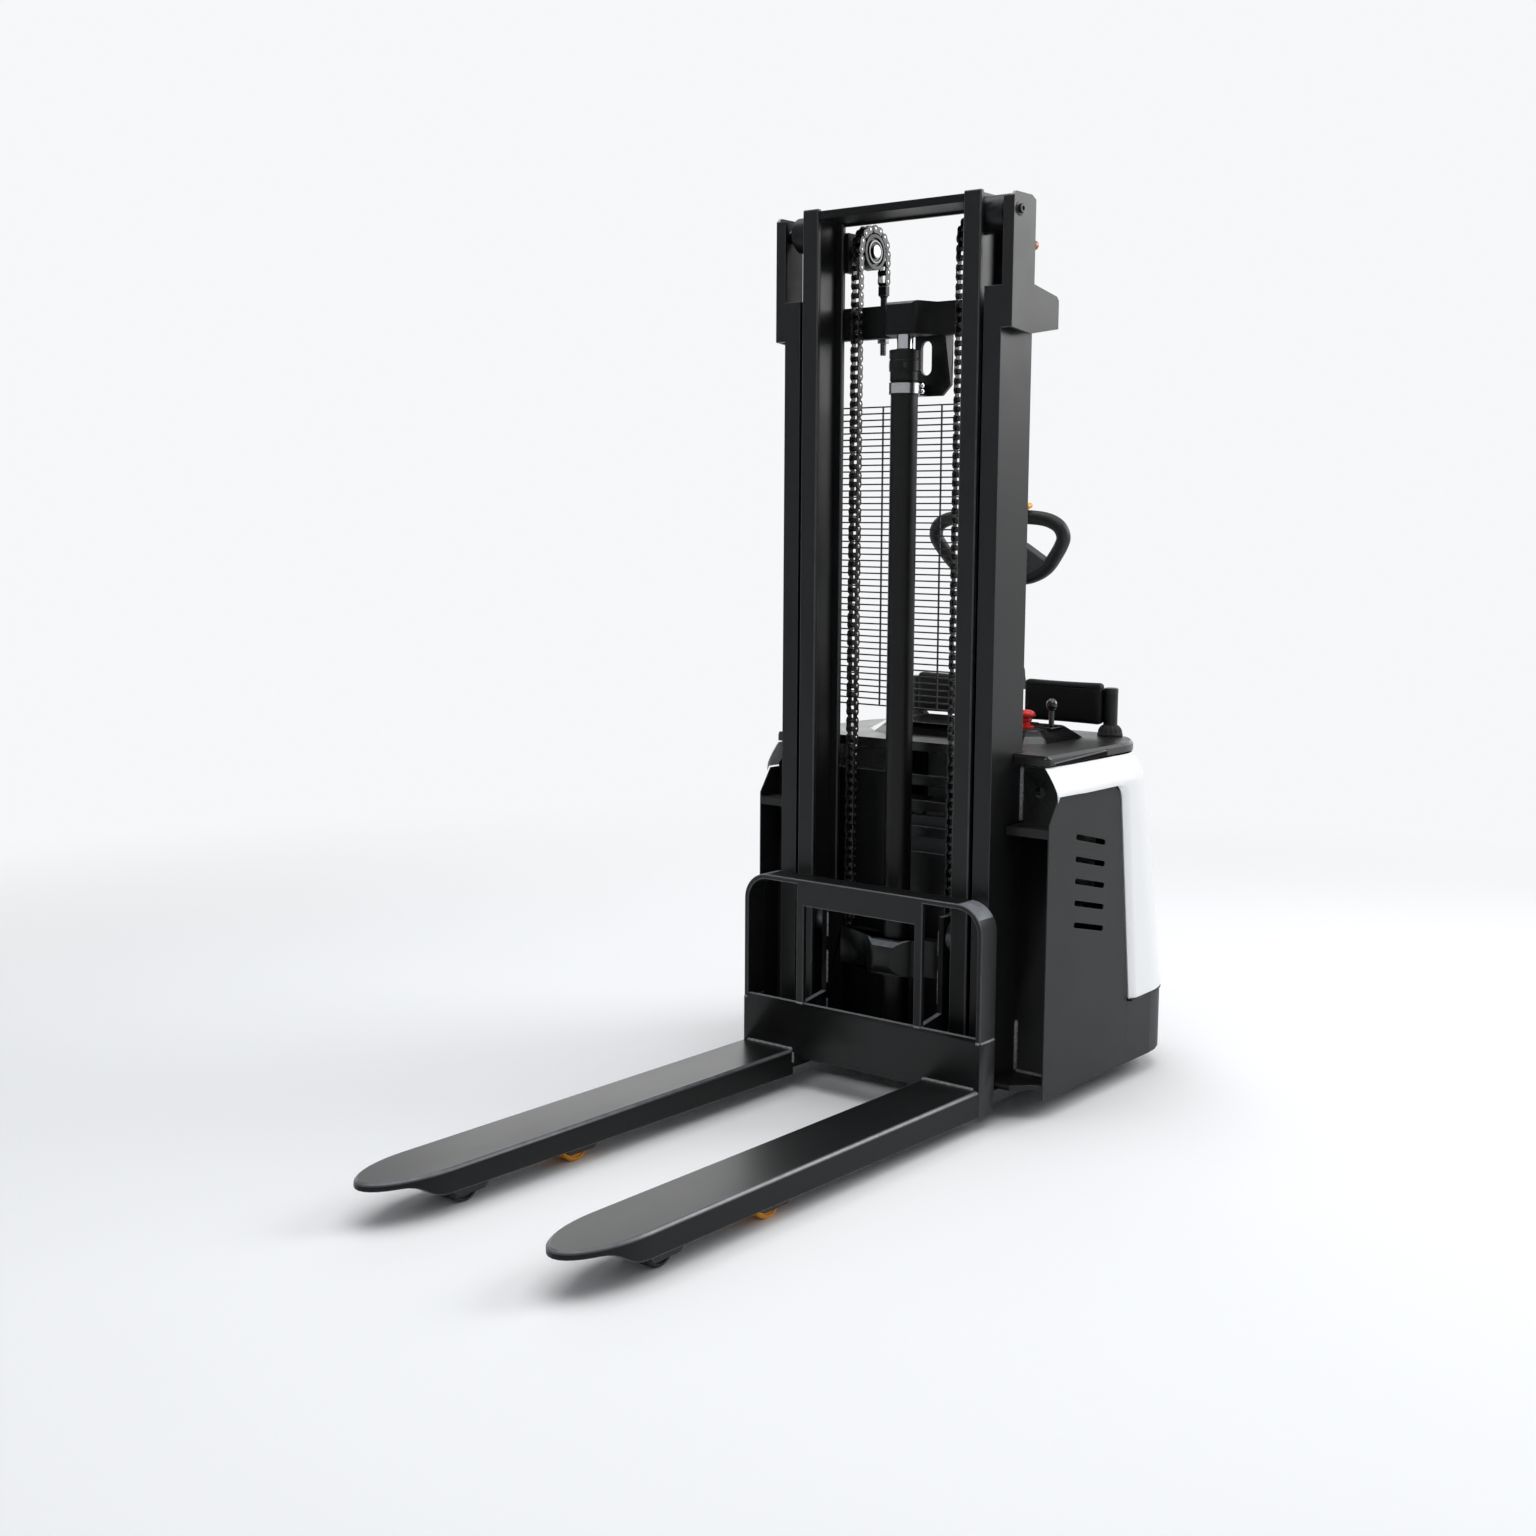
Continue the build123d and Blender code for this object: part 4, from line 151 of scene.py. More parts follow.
class StackerPaint(bpy.types.PropertyGroup):
    """Colours of the finishes."""

    black: FloatVectorProperty(
        name="Black paint", description="Satin black on the mast, forks and frame",
        subtype="COLOR", size=3, min=0, max=1, default=(0.0080, 0.0084, 0.0090),
    )
    panel: FloatVectorProperty(
        name="Panel paint", description="Charcoal powder coat on the side panels and skirt",
        subtype="COLOR", size=3, min=0, max=1, default=(0.0145, 0.0149, 0.0156),
    )
    hood: FloatVectorProperty(
        name="Hood paint", description="White paint of the hood",
        subtype="COLOR", size=3, min=0, max=1, default=(0.85, 0.858, 0.866),
    )
    plastic: FloatVectorProperty(
        name="Black plastic", description="Top cover, grips and covers",
        subtype="COLOR", size=3, min=0, max=1, default=(0.0085, 0.0085, 0.0095),
    )
    wing: FloatVectorProperty(
        name="Grey plastic", description="Panel inside the tiller loop",
        subtype="COLOR", size=3, min=0, max=1, default=(0.05, 0.053, 0.056),
    )
    polyurethane: FloatVectorProperty(
        name="Load roller", description="Polyurethane of the load rollers",
        subtype="COLOR", size=3, min=0, max=1, default=(0.82, 0.33, 0.012),
    )
    stop: FloatVectorProperty(
        name="Stop button", description="Red of the emergency stop",
        subtype="COLOR", size=3, min=0, max=1, default=(0.86, 0.026, 0.018),
    )
    belly: FloatVectorProperty(
        name="Belly button", description="Yellow of the button on the loop",
        subtype="COLOR", size=3, min=0, max=1, default=(0.85, 0.40, 0.015),
    )


class StackerDetail(bpy.types.PropertyGroup):
    """Sizes of the fine forms."""

    soft_edge: FloatProperty(
        name="Plate edge", description="Rounding of sheared and sawn edges",
        unit="LENGTH", default=0.0018, min=0.0002, max=0.004, precision=4,
    )
    rolled_edge: FloatProperty(
        name="Rolled edge", description="Rounding along the rolled mast sections",
        unit="LENGTH", default=0.0030, min=0.0002, max=0.005, precision=4,
    )
    weld: FloatProperty(
        name="Weld bead", description="Radius of a weld bead",
        unit="LENGTH", default=0.0046, min=0.001, max=0.006, precision=4,
    )
    hood_lip: FloatProperty(
        name="Hood lip", description="Rounding of the hood's edge round the side panel",
        unit="LENGTH", default=0.0012, min=0.0004, max=0.003, precision=4,
    )
    hood_swell: FloatProperty(
        name="Hood swell", description="Width over which the hood rises from the side panel",
        unit="LENGTH", default=0.026, min=0.004, max=0.04, precision=4,
    )
    boot_ribs: IntProperty(
        name="Boot ribs", description="Ribs round a guard post's rubber boot", default=14, min=6, max=30,
    )
    mat_ribs: IntProperty(
        name="Mat ribs", description="Ribs of the platform's rubber mat", default=15, min=4, max=40,
    )
    smooth_angle: FloatProperty(
        name="Crease", description="Faces that meet at less than this are shaded as one",
        subtype="ANGLE", default=math.radians(38), min=0.1, max=1.5,
    )


class StackerStage(bpy.types.PropertyGroup):
    """Floor, light and camera."""

    floor: FloatVectorProperty(
        name="Floor", description="Colour of the floor and its curved edge",
        subtype="COLOR", size=3, min=0, max=1, default=(0.925, 0.935, 0.948),
    )
    key: FloatProperty(
        name="Overhead light", description="Power of the soft box above",
        unit="POWER", default=205.0, min=0, max=3000,
    )
    side: FloatProperty(
        name="Rear light", description="Power of the soft box behind on the right",
        unit="POWER", default=94.0, min=0, max=3000,
    )
    lens: FloatProperty(
        name="Lens", description="Focal length", unit="CAMERA", default=43.995, min=10, max=200,
    )


# Shaping


def fresh(bm, before):
    """The vertices that were added after a set of them was kept."""
    return [v for v in bm.verts if v not in before]


def edges_of(verts):
    """Every edge on some vertices, in a steady order."""
    return list(dict.fromkeys(edge for v in verts for edge in v.link_edges))


def round_off(bm, edges, width, segments=2):
    """Round some edges, and mark the new faces for the painted edge highlight."""
    mark = bm.faces.layers.float.get("edge") or bm.faces.layers.float.new("edge")
    made = bmesh.ops.bevel(
        bm, geom=edges, offset=width, offset_type="OFFSET", segments=segments, profile=0.5,
        affect="EDGES", clamp_overlap=True, material=-1,
    )
    for face in made["faces"]:
        face.normal_update()
        face[mark] = SIDE_HIGHLIGHT + TOP_HIGHLIGHT * abs(face.normal.z)


def slab(bm, low, high, soft=0.0, segments=2, turn=None):
    """Block between two corners, with rounded edges."""
    before = set(bm.verts)
    low, high = Vector(low), Vector(high)
    shape = Matrix.Translation((low + high) / 2) @ Matrix.Diagonal((*(high - low), 1))
    made = bmesh.ops.create_cube(bm, size=1, matrix=shape)["verts"]
    if soft:
        round_off(bm, edges_of(made), soft, segments)
    verts = fresh(bm, before)
    if turn:
        bmesh.ops.transform(bm, matrix=turn, verts=verts)
    return verts


def turned(bm, profile, turn=None, steps=48, hollow=False):
    """Turned form from (radius, height) pairs, spun round Z. A hollow one has a closed profile."""
    before = set(bm.verts)
    line = [bm.verts.new((radius, 0, height)) for radius, height in profile]
    ends = line[1:] + line[:1] if hollow else line[1:]
    edges = [bm.edges.new(pair) for pair in zip(line, ends)]
    bmesh.ops.spin(
        bm, geom=line + edges, cent=(0, 0, 0), axis=(0, 0, 1), dvec=(0, 0, 0), angle=math.tau,
        steps=steps, use_merge=True,
    )
    bmesh.ops.remove_doubles(bm, verts=fresh(bm, before), dist=1e-4)
    verts = fresh(bm, before)
    if turn:
        bmesh.ops.transform(bm, matrix=turn, verts=verts)
    return verts


def drawn_out(bm, faces, vec):
    """Extrude some faces along a vector."""
    grown = bmesh.ops.extrude_face_region(bm, geom=faces)["geom"]
    bmesh.ops.translate(bm, vec=vec, verts=[item for item in grown if isinstance(item, bmesh.types.BMVert)])


def plate(bm, outline, start, end, axis, soft=0.0, segments=2):
    """Plate with an outline in the two axes that follow, between two places along one axis."""
    before = set(bm.verts)
    order = {"X": (2, 0, 1), "Y": (0, 2, 1), "Z": (0, 1, 2)}[axis]

    def spot(a, b, c):
        values = (a, b, c)
        return Vector([values[i] for i in order])

    face = bm.faces.new([bm.verts.new(spot(a, b, start)) for a, b in outline])
    drawn_out(bm, [face], spot(0, 0, end - start))
    if soft:
        round_off(bm, edges_of(fresh(bm, before)), soft, segments)
    return fresh(bm, before)


def tube(bm, path, radii, sides=12, closed=False):
    """Round tube along a path: one ring, extruded from point to point."""
    points = [Vector(point) for point in path]
    count = len(points)
    frames = []
    side = None
    for number, point in enumerate(points):
        after = points[(number + 1) % count] if closed or number + 1 < count else point
        ahead = points[number - 1] if closed or number else point
        run = (after - ahead).normalized()
        if side is None:
            side = run.orthogonal().normalized()
        side = (side - run * side.dot(run)).normalized()
        third = run.cross(side)
        radius = radii[number] if isinstance(radii, (list, tuple)) else radii
        frames.append(Matrix((
            (side.x * radius, third.x * radius, run.x, point.x),
            (side.y * radius, third.y * radius, run.y, point.y),
            (side.z * radius, third.z * radius, run.z, point.z),
            (0, 0, 0, 1),
        )))
    ring = bmesh.ops.create_circle(bm, segments=sides, radius=1, matrix=frames[0])["verts"]
    made = list(ring)
    first = edges = edges_of(ring)
    for number in range(1, count):
        grown = bmesh.ops.extrude_edge_only(bm, edges=edges)["geom"]
        verts = [item for item in grown if isinstance(item, bmesh.types.BMVert)]
        kept = set(verts)
        edges = [
            item for item in grown
            if isinstance(item, bmesh.types.BMEdge) and all(v in kept for v in item.verts)
        ]
        bmesh.ops.transform(bm, matrix=frames[number] @ frames[number - 1].inverted(), verts=verts)
        made += verts
    if closed:
        bmesh.ops.bridge_loops(bm, edges=edges + first)
    else:
        bmesh.ops.contextual_create(bm, geom=first)
        bmesh.ops.contextual_create(bm, geom=edges)
    return made


def bead(bm, start, end, radius):
    """Rippled weld bead between two points."""
    ripple_length, ripple, end_share = radius * 0.62, 0.16, 0.45
    start, end = Vector(start), Vector(end)
    count = max(6, int((end - start).length / ripple_length))
    path = [start.lerp(end, number / count) for number in range(count + 1)]
    radii = [radius * (1 - ripple + ripple * (number % 2)) for number in range(count + 1)]
    radii[0] = radii[-1] = radius * end_share
    tube(bm, path, radii, sides=8)


def bent(corners, radius, steps=8, closed=True):
    """Corners of a path joined by round bends."""
    points = [Vector(corner) for corner in corners]
    count = len(points)
    path = []
    for number, point in enumerate(points):
        if not closed and number in (0, count - 1):
            path.append(point)
            continue
        back = (points[number - 1] - point).normalized()
        on = (points[(number + 1) % count] - point).normalized()
        half = back.angle(on) / 2
        reach = min(radius / math.tan(half), (points[number - 1] - point).length * 0.49,
                    (points[(number + 1) % count] - point).length * 0.49)
        true = reach * math.tan(half)
        centre = point + (back + on).normalized() * (true / math.sin(half))
        start = point + back * reach - centre
        turn = math.pi - 2 * half
        normal = start.cross(point + on * reach - centre).normalized()
        for step in range(steps + 1):
            path.append(centre + Matrix.Rotation(turn * step / steps, 3, normal) @ start)
    return path


def flowing(points, steps):
    """Closed smooth path through some points."""
    points = [Vector(point) for point in points]
    count = len(points)
    path = []
    for number in range(count):
        before, start, end, after = (points[(number + k) % count] for k in (-1, 0, 1, 2))
        for step in range(steps):
            t = step / steps
            path.append(0.5 * (2 * start + (end - before) * t + (2 * before - 5 * start + 4 * end - after) * t * t
                               + (3 * start - before - 3 * end + after) * t ** 3))
    return path


def bent_outline(corners, radius):
    """Flat outline with round corners."""
    return [(point.x, point.y) for point in bent([(x, y, 0) for x, y in corners], radius, 5)]


def skin(bm, low, high):
    """Faces between two rows of vertices."""
    for corners in zip(low, low[1:], high[1:], high):
        bm.faces.new(corners)


def merge_flat(bm, degrees):
    """Merge faces that lie in one plane, within an angle."""
    bmesh.ops.dissolve_limit(
        bm, angle_limit=math.radians(degrees), use_dissolve_boundaries=False, verts=bm.verts, edges=bm.edges,
        delimit=set(),
    )


def upright(edge, x, y):
    """Whether an edge stands at a place, on either side of the truck."""
    return all(abs(abs(v.co.x) - x) < 1 and abs(v.co.y - y) < 1 for v in edge.verts)


def copied(node, soft=0.0, segments=2, sharp=32, bends=(), broad=()):
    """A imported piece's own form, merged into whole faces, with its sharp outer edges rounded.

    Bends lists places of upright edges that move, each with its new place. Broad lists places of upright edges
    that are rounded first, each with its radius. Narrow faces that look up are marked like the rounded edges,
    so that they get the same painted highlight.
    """
    bm = bmesh.new()
    bm.from_mesh(NODES[node].data)
    bmesh.ops.translate(bm, vec=(0, -HEEL, 0), verts=bm.verts)
    bmesh.ops.scale(bm, vec=(1000, 1000, 1000), verts=bm.verts)
    bmesh.ops.remove_doubles(bm, verts=bm.verts, dist=0.004)
    merge_flat(bm, 0.6)
    for x, y, new_x, new_y in bends:
        for v in {v for edge in bm.edges if upright(edge, x, y) for v in edge.verts}:
            v.co.x, v.co.y = math.copysign(new_x, v.co.x), new_y
    bm.normal_update()
    for x, y, radius in broad:
        round_off(bm, [edge for edge in bm.edges if upright(edge, x, y)], radius, 6)
    mark = bm.faces.layers.float.get("edge") or bm.faces.layers.float.new("edge")
    for face in bm.faces:
        long_side = max(edge.calc_length() for edge in face.edges)
        face[mark] = 1.0 if face.normal.z > LOOKS_UP and face.calc_area() / long_side < NARROW else 0.0
    if soft:
        edges = [
            edge for edge in bm.edges
            if edge.is_manifold and edge.calc_face_angle(0) > math.radians(sharp) and edge.is_convex
        ]
        round_off(bm, edges, soft, segments)
    return bm


def settle(bm, name, body, finish, stands_for=(), crease=None, flat=True):
    """Turn a drawn shape into a piece that rides on a body, its large faces shaded flat."""
    bmesh.ops.recalc_face_normals(bm, faces=bm.faces)
    bmesh.ops.scale(bm, vec=(0.001, 0.001, 0.001), verts=bm.verts)
    bmesh.ops.translate(bm, vec=(0, HEEL, 0), verts=bm.verts)
    mesh = bpy.data.meshes.new(name)
    bm.to_mesh(mesh)
    bm.free()
    for polygon in mesh.polygons:
        polygon.use_smooth = True
    mesh.set_sharp_from_angle(angle=crease or bpy.context.scene.stacker_detail.smooth_angle)
    mesh.materials.append(finish)
    piece = bpy.data.objects.new(name, mesh)
    bpy.context.scene.collection.objects.link(piece)
    if flat:
        weight = piece.modifiers.new("flat_faces", "WEIGHTED_NORMAL")
        weight.keep_sharp = True
    if body:
        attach(piece, body)
    if stands_for:
        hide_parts(*stands_for)
    return piece


def second_finish(piece, finish, test):
    """Give the faces of a piece whose normals pass a test another finish."""
    piece.data.materials.append(finish)
    for polygon in piece.data.polygons:
        polygon.material_index = int(test(polygon.normal))


def dress(node, finish):
    """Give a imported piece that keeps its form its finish."""
    materials = NODES[node].data.materials
    materials.clear()
    materials.append(finish)


def shift(x, y, z):
    """A move by some millimetres."""
    return Matrix.Translation((x, y, z))


def spun(degrees, axis):
    """A turn by some degrees round an axis."""
    return Matrix.Rotation(math.radians(degrees), 4, axis)


def span(sign, near, far):
    """Two distances from the middle on one side of the truck, the lower one first."""
    return sorted((sign * near, sign * far))


def on_arm(bm):
    """Move a shape that was drawn upright over the tilt axis onto the leaning tiller arm."""
    bmesh.ops.transform(bm, matrix=ARM, verts=bm.verts)


def detail_mm(part):
    """A size that the user can change, in millimetres."""
    return getattr(bpy.context.scene.stacker_detail, part) * 1000


def mirror_x(bm):
    """Turn a right-hand shape into its left-hand twin."""
    bmesh.ops.scale(bm, vec=(-1, 1, 1), verts=bm.verts)
    bmesh.ops.reverse_faces(bm, faces=bm.faces)


# Finishes


def shade(colour, factor):
    """A colour made lighter or darker, with its alpha."""
    return (*(min(1.0, part * factor) for part in colour), 1.0)


def add_node(tree, kind, values=None, **settings):
    """New node of a finish, with its settings and the values of its sockets."""
    node = tree.nodes.new(kind)
    for name, value in settings.items():
        setattr(node, name, value)
    for socket, value in (values or {}).items():
        node.inputs[socket].default_value = value
    return node


def painted_edge_highlight(tree, spot, tint, polish, pale, smooth):
    """Painted highlight: lighter and smoother paint along the marked edges, broken up by a noise."""
    join = tree.links.new
    rim = add_node(tree, "ShaderNodeAttribute", attribute_name="edge")
    highlight_noise = add_node(tree, "ShaderNodeTexNoise", {"Scale": 38.0, "Detail": 4.0})
    join(spot.outputs["Object"], highlight_noise.inputs["Vector"])
    amount = add_node(tree, "ShaderNodeMapRange", {"From Min": 0.36, "From Max": 0.62, "To Min": 0.75})
    join(highlight_noise.outputs["Fac"], amount.inputs["Value"])
    where = add_node(tree, "ShaderNodeMath", operation="MULTIPLY")
    join(rim.outputs["Fac"], where.inputs[0])
    join(amount.outputs["Result"], where.inputs[1])
    first, second, mixed = 6, 7, 2
    paler = add_node(tree, "ShaderNodeMix", data_type="RGBA")
    paler.inputs[second].default_value = pale
    join(where.outputs["Value"], paler.inputs["Factor"])
    join(tint, paler.inputs[first])
    smoother = add_node(tree, "ShaderNodeMapRange", {"To Max": smooth})
    join(where.outputs["Value"], smoother.inputs["Value"])
    join(polish, smoother.inputs["To Min"])
    return paler.outputs[mixed], smoother.outputs["Result"]


def surface(name, colour, rough, mottle, grain, metal=0.0, coat=0.0, shine=0.5, stretch=(1, 1, 1), cells=False,
            edge_highlight=0.0):
    """Finish with broad changes of tone and gloss, and a fine grain in relief.

    Mottle is its scale, its share of the colour and its share of the gloss; grain is its scale and depth.
    A finish with an edge highlight is that much lighter along the rounded edges, a painted highlight, and smoother
    there.
    """
    found = bpy.data.materials.get(name)
    if found:
        return found
    material = bpy.data.materials.new(name)
    material.use_nodes = True
    tree = material.node_tree
    join = tree.links.new
    shader = tree.nodes["Principled BSDF"]
    shader.inputs["Metallic"].default_value = metal
    shader.inputs["Coat Weight"].default_value = coat
    shader.inputs["Coat Roughness"].default_value = 0.12
    shader.inputs["Specular IOR Level"].default_value = shine
    spot = add_node(tree, "ShaderNodeTexCoord")
    turn = add_node(tree, "ShaderNodeMapping", {"Scale": stretch})
    join(spot.outputs["Object"], turn.inputs["Vector"])
    scale, tone, gloss = mottle
    dark, light = 0.3, 0.72
    broad = add_node(tree, "ShaderNodeTexNoise", {"Scale": scale, "Detail": 6.0, "Roughness": 0.62})
    join(turn.outputs["Vector"], broad.inputs["Vector"])
    ramp = add_node(tree, "ShaderNodeValToRGB")
    low, high = ramp.color_ramp.elements
    low.position, low.color = dark, shade(colour, 1 - tone)
    high.position, high.color = light, shade(colour, 1 + tone)
    join(broad.outputs["Fac"], ramp.inputs["Fac"])
    spread = add_node(tree, "ShaderNodeMapRange", {
        "From Min": dark, "From Max": light, "To Min": rough * (1 - gloss), "To Max": min(1.0, rough * (1 + gloss)),
    })
    join(broad.outputs["Fac"], spread.inputs["Value"])
    tint, polish = ramp.outputs["Color"], spread.outputs["Result"]
    if edge_highlight:
        tint, polish = painted_edge_highlight(tree, spot, tint, polish, shade(colour, edge_highlight), rough * 0.6)
    join(tint, shader.inputs["Base Color"])
    join(polish, shader.inputs["Roughness"])
    pitch, depth = grain
    if cells:
        fine = add_node(tree, "ShaderNodeTexVoronoi", {"Scale": pitch})
        height = fine.outputs["Distance"]
    else:
        fine = add_node(tree, "ShaderNodeTexNoise", {"Scale": pitch, "Detail": 3.0})
        height = fine.outputs["Fac"]
    join(turn.outputs["Vector"], fine.inputs["Vector"])
    relief = add_node(tree, "ShaderNodeBump", {"Strength": 0.35, "Distance": depth})
    join(height, relief.inputs["Height"])
    join(relief.outputs["Normal"], shader.inputs["Normal"])
    return material


def chosen(part):
    """A colour that the user can change."""
    return getattr(bpy.context.scene.stacker_paint, part)


def black_paint():
    return surface("satin_black_paint", chosen("black"), 0.38, (7, 0.10, 0.10), (900, 0.00012), shine=0.36, edge_highlight=34.0)


def fork_paint():
    return surface("fork_paint", chosen("black"), 0.33,
                   (4, 0.12, 0.13), (1100, 0.0001), shine=0.43, stretch=(1, 0.35, 1), edge_highlight=20.0)


# Fork paint with less shine for the upright flanks: painted shade that darkens them.
def fork_flank_paint():
    return surface("fork_flank_paint", chosen("black"), 0.36,
                   (4, 0.12, 0.13), (1100, 0.0001), shine=0.16, stretch=(1, 0.35, 1), edge_highlight=20.0)


# Near-black, slightly glossy: painted shade for faces that should lie in shadow.
def greased_black():
    return surface("greased_black", (0.0024, 0.0024, 0.0025), 0.45, (16, 0.2, 0.2), (900, 0.0001), shine=0.12)


def tie_paint():
    return surface("tie_matt_black", chosen("black"), 0.55, (7, 0.10, 0.10), (900, 0.00012), shine=0.16, edge_highlight=34.0)


def cylinder_paint():
    return surface("cylinder_black", (0.0042, 0.0043, 0.0045), 0.40, (9, 0.15, 0.12), (900, 0.0001), shine=0.3,
                   edge_highlight=14.0)


# Near-black and matt: painted shadow for gaps.
def painted_gap_shadow():
    return surface("shadow_gap_black", (0.0016, 0.0016, 0.0016), 0.8, (30, 0.2, 0.05), (900, 0.0001), shine=0.1)


def panel_paint():
    return surface("panel_powder_coat", chosen("panel"), 0.52, (6, 0.07, 0.06), (1400, 0.0002), shine=0.29, edge_highlight=6.0)


def hood_paint():
    return surface("hood_white_paint", chosen("hood"), 0.34, (3, 0.012, 0.12), (700, 0.00006), coat=0.25)


def cover_plastic():
    return surface("cover_grained_plastic", chosen("plastic"), 0.34,
                   (12, 0.12, 0.15), (1500, 0.0001), cells=True, edge_highlight=9.0)


def gloss_plastic():
    return surface("console_gloss", chosen("plastic"), 0.16, (9, 0.10, 0.25), (300, 0.00003), coat=0.4)


def grip_rubber():
    return surface("grip_rubber", shade(chosen("plastic"), 0.9)[:3], 0.50,
                   (18, 0.15, 0.10), (2200, 0.00022), cells=True)


def wing_plastic():
    return surface("tiller_wing_plastic", chosen("wing"), 0.5, (14, 0.07, 0.08), (1900, 0.00016), cells=True)


# Black plastic made much lighter: painted highlight for the cover's lip.
def lip_highlight_plastic():
    return surface("cover_lip_plastic", shade(chosen("plastic"), 7)[:3], 0.36, (14, 0.10, 0.10), (1500, 0.0001))


def boot_rubber():
    return surface("boot_rubber", (0.0065, 0.0065, 0.007), 0.27, (30, 0.2, 0.16), (600, 0.0001))


def pad_skin():
    return surface("pad_moulded_skin", (0.0042, 0.0042, 0.0045), 0.56, (16, 0.14, 0.10), (1300, 0.0003),
                   shine=0.28, cells=True)


# Pale grey beads on the black paint: painted highlight on the welds.
def weld_highlight_paint():
    return surface("weld_bead_paint", (0.21, 0.212, 0.216), 0.27, (160, 0.35, 0.25), (500, 0.0003))


def bright_steel():
    return surface("turned_bright_steel", (0.62, 0.62, 0.63), 0.24, (40, 0.10, 0.30), (900, 0.00006), metal=1.0)


def stud_steel():
    return surface("stud_dark_steel", (0.16, 0.162, 0.166), 0.3, (40, 0.15, 0.30), (900, 0.00006), metal=1.0)


def rod_chrome():
    return surface("rod_chrome", (0.80, 0.81, 0.83), 0.09, (12, 0.03, 0.35), (1500, 0.00002), metal=1.0,
                   stretch=(1, 1, 0.05))


def roller_steel():
    return surface("mast_roller_steel", (0.085, 0.086, 0.09), 0.33, (60, 0.3, 0.2), (900, 0.0001), metal=0.8)


def head_roller_steel():
    return surface("head_roller_steel", (0.010, 0.010, 0.011), 0.33, (60, 0.3, 0.2), (900, 0.0001), metal=0.2,
                   shine=0.3)


def ring_steel():
    return surface("bearing_ring_steel", (0.12, 0.122, 0.126), 0.30, (80, 0.2, 0.2), (700, 0.00008), metal=0.9)


def chain_steel():
    return surface("oiled_chain_steel", (0.040, 0.039, 0.038), 0.30, (120, 0.55, 0.4), (500, 0.0002), metal=0.75)


def pin_steel():
    return surface("chain_pin_steel", (0.46, 0.46, 0.465), 0.30, (150, 0.3, 0.3), (500, 0.0001), metal=1.0)


def guard_wire():
    return surface("guard_wire_paint", (0.030, 0.031, 0.033), 0.5, (50, 0.2, 0.15), (900, 0.0001))


def orange_tyre():
    return surface("orange_polyurethane", chosen("polyurethane"), 0.38, (25, 0.10, 0.2), (260, 0.0002))


def black_nylon():
    return surface("black_nylon", (0.013, 0.013, 0.013), 0.44, (30, 0.25, 0.2), (300, 0.0002))


def drive_tread():
    return surface("drive_tread", (0.03, 0.029, 0.028), 0.62, (22, 0.3, 0.12), (240, 0.0004))


def cast_grey():
    return surface("cast_grey_paint", (0.10, 0.105, 0.11), 0.55, (14, 0.2, 0.12), (420, 0.0005))


def battery_case():
    return surface("battery_case", (0.045, 0.046, 0.05), 0.6, (10, 0.2, 0.1), (600, 0.0003))


def stop_red():
    return surface("stop_red_plastic", chosen("stop"), 0.27, (20, 0.05, 0.2), (400, 0.00004), coat=0.2)


def belly_yellow():
    return surface("belly_yellow_plastic", chosen("belly"), 0.36, (20, 0.05, 0.15), (900, 0.00008))


def ball_plastic():
    return surface("ball_black_phenolic", (0.008, 0.008, 0.008), 0.10, (15, 0.2, 0.3), (300, 0.00002), coat=0.6)


def bronze():
    return surface("knob_bronze", (0.30, 0.125, 0.05), 0.38, (60, 0.25, 0.2), (500, 0.0002), metal=0.6)


def painted(node, name, body, soft, segments=3, finish=black_paint, slot="black_paint", **form):
    """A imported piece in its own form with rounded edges, in its finish."""
    return settle(copied(node, soft, segments, **form), name, body, finish(), (node,))


def welded(bm, name, body):
    """A set of weld beads as a piece, in pale grey: painted highlight."""
    return settle(bm, name, body, weld_highlight_paint(), crease=1.2)


# Stage


def stage_finish(colour):
    """Matt white that fades into an even pale backdrop away from the truck.

    The backdrop also shows in gloss behind the truck, while gloss that faces forward sees the unlit room.
    """
    material = surface("stage_matt_white", colour, 0.85, (0.3, 0.004, 0.02), (3, 0.0))
    tree = material.node_tree
    join = tree.links.new

    def combined(operation, first, second):
        node = add_node(tree, "ShaderNodeMath", operation=operation)
        join(first, node.inputs[0])
        join(second, node.inputs[1])
        return node.outputs["Value"]

    spot = add_node(tree, "ShaderNodeTexCoord")
    reach = add_node(tree, "ShaderNodeVectorMath", operation="LENGTH")
    join(spot.outputs["Object"], reach.inputs[0])
    fade = add_node(tree, "ShaderNodeMapRange", {"From Min": 1.7, "From Max": 4.6}, interpolation_type="SMOOTHSTEP")
    join(reach.outputs["Value"], fade.inputs["Value"])
    axes = add_node(tree, "ShaderNodeSeparateXYZ")
    join(spot.outputs["Object"], axes.inputs["Vector"])
    behind = add_node(tree, "ShaderNodeMapRange", {"From Min": -1.0, "From Max": 3.0})
    join(axes.outputs["Y"], behind.inputs["Value"])
    path = add_node(tree, "ShaderNodeLightPath")
    mirrored = combined("MULTIPLY", path.outputs["Is Glossy Ray"], behind.outputs["Result"])
    through = combined("MAXIMUM", path.outputs["Is Camera Ray"], path.outputs["Is Transmission Ray"])
    share = combined("MULTIPLY", combined("MAXIMUM", through, mirrored), fade.outputs["Result"])
    glow = add_node(tree, "ShaderNodeEmission", {"Color": (*colour, 1.0), "Strength": 1.0})
    mix = add_node(tree, "ShaderNodeMixShader")
    join(share, mix.inputs["Fac"])
    join(tree.nodes["Principled BSDF"].outputs["BSDF"], mix.inputs[1])
    join(glow.outputs["Emission"], mix.inputs[2])
    join(mix.outputs["Shader"], tree.nodes["Material Output"].inputs["Surface"])
    return material


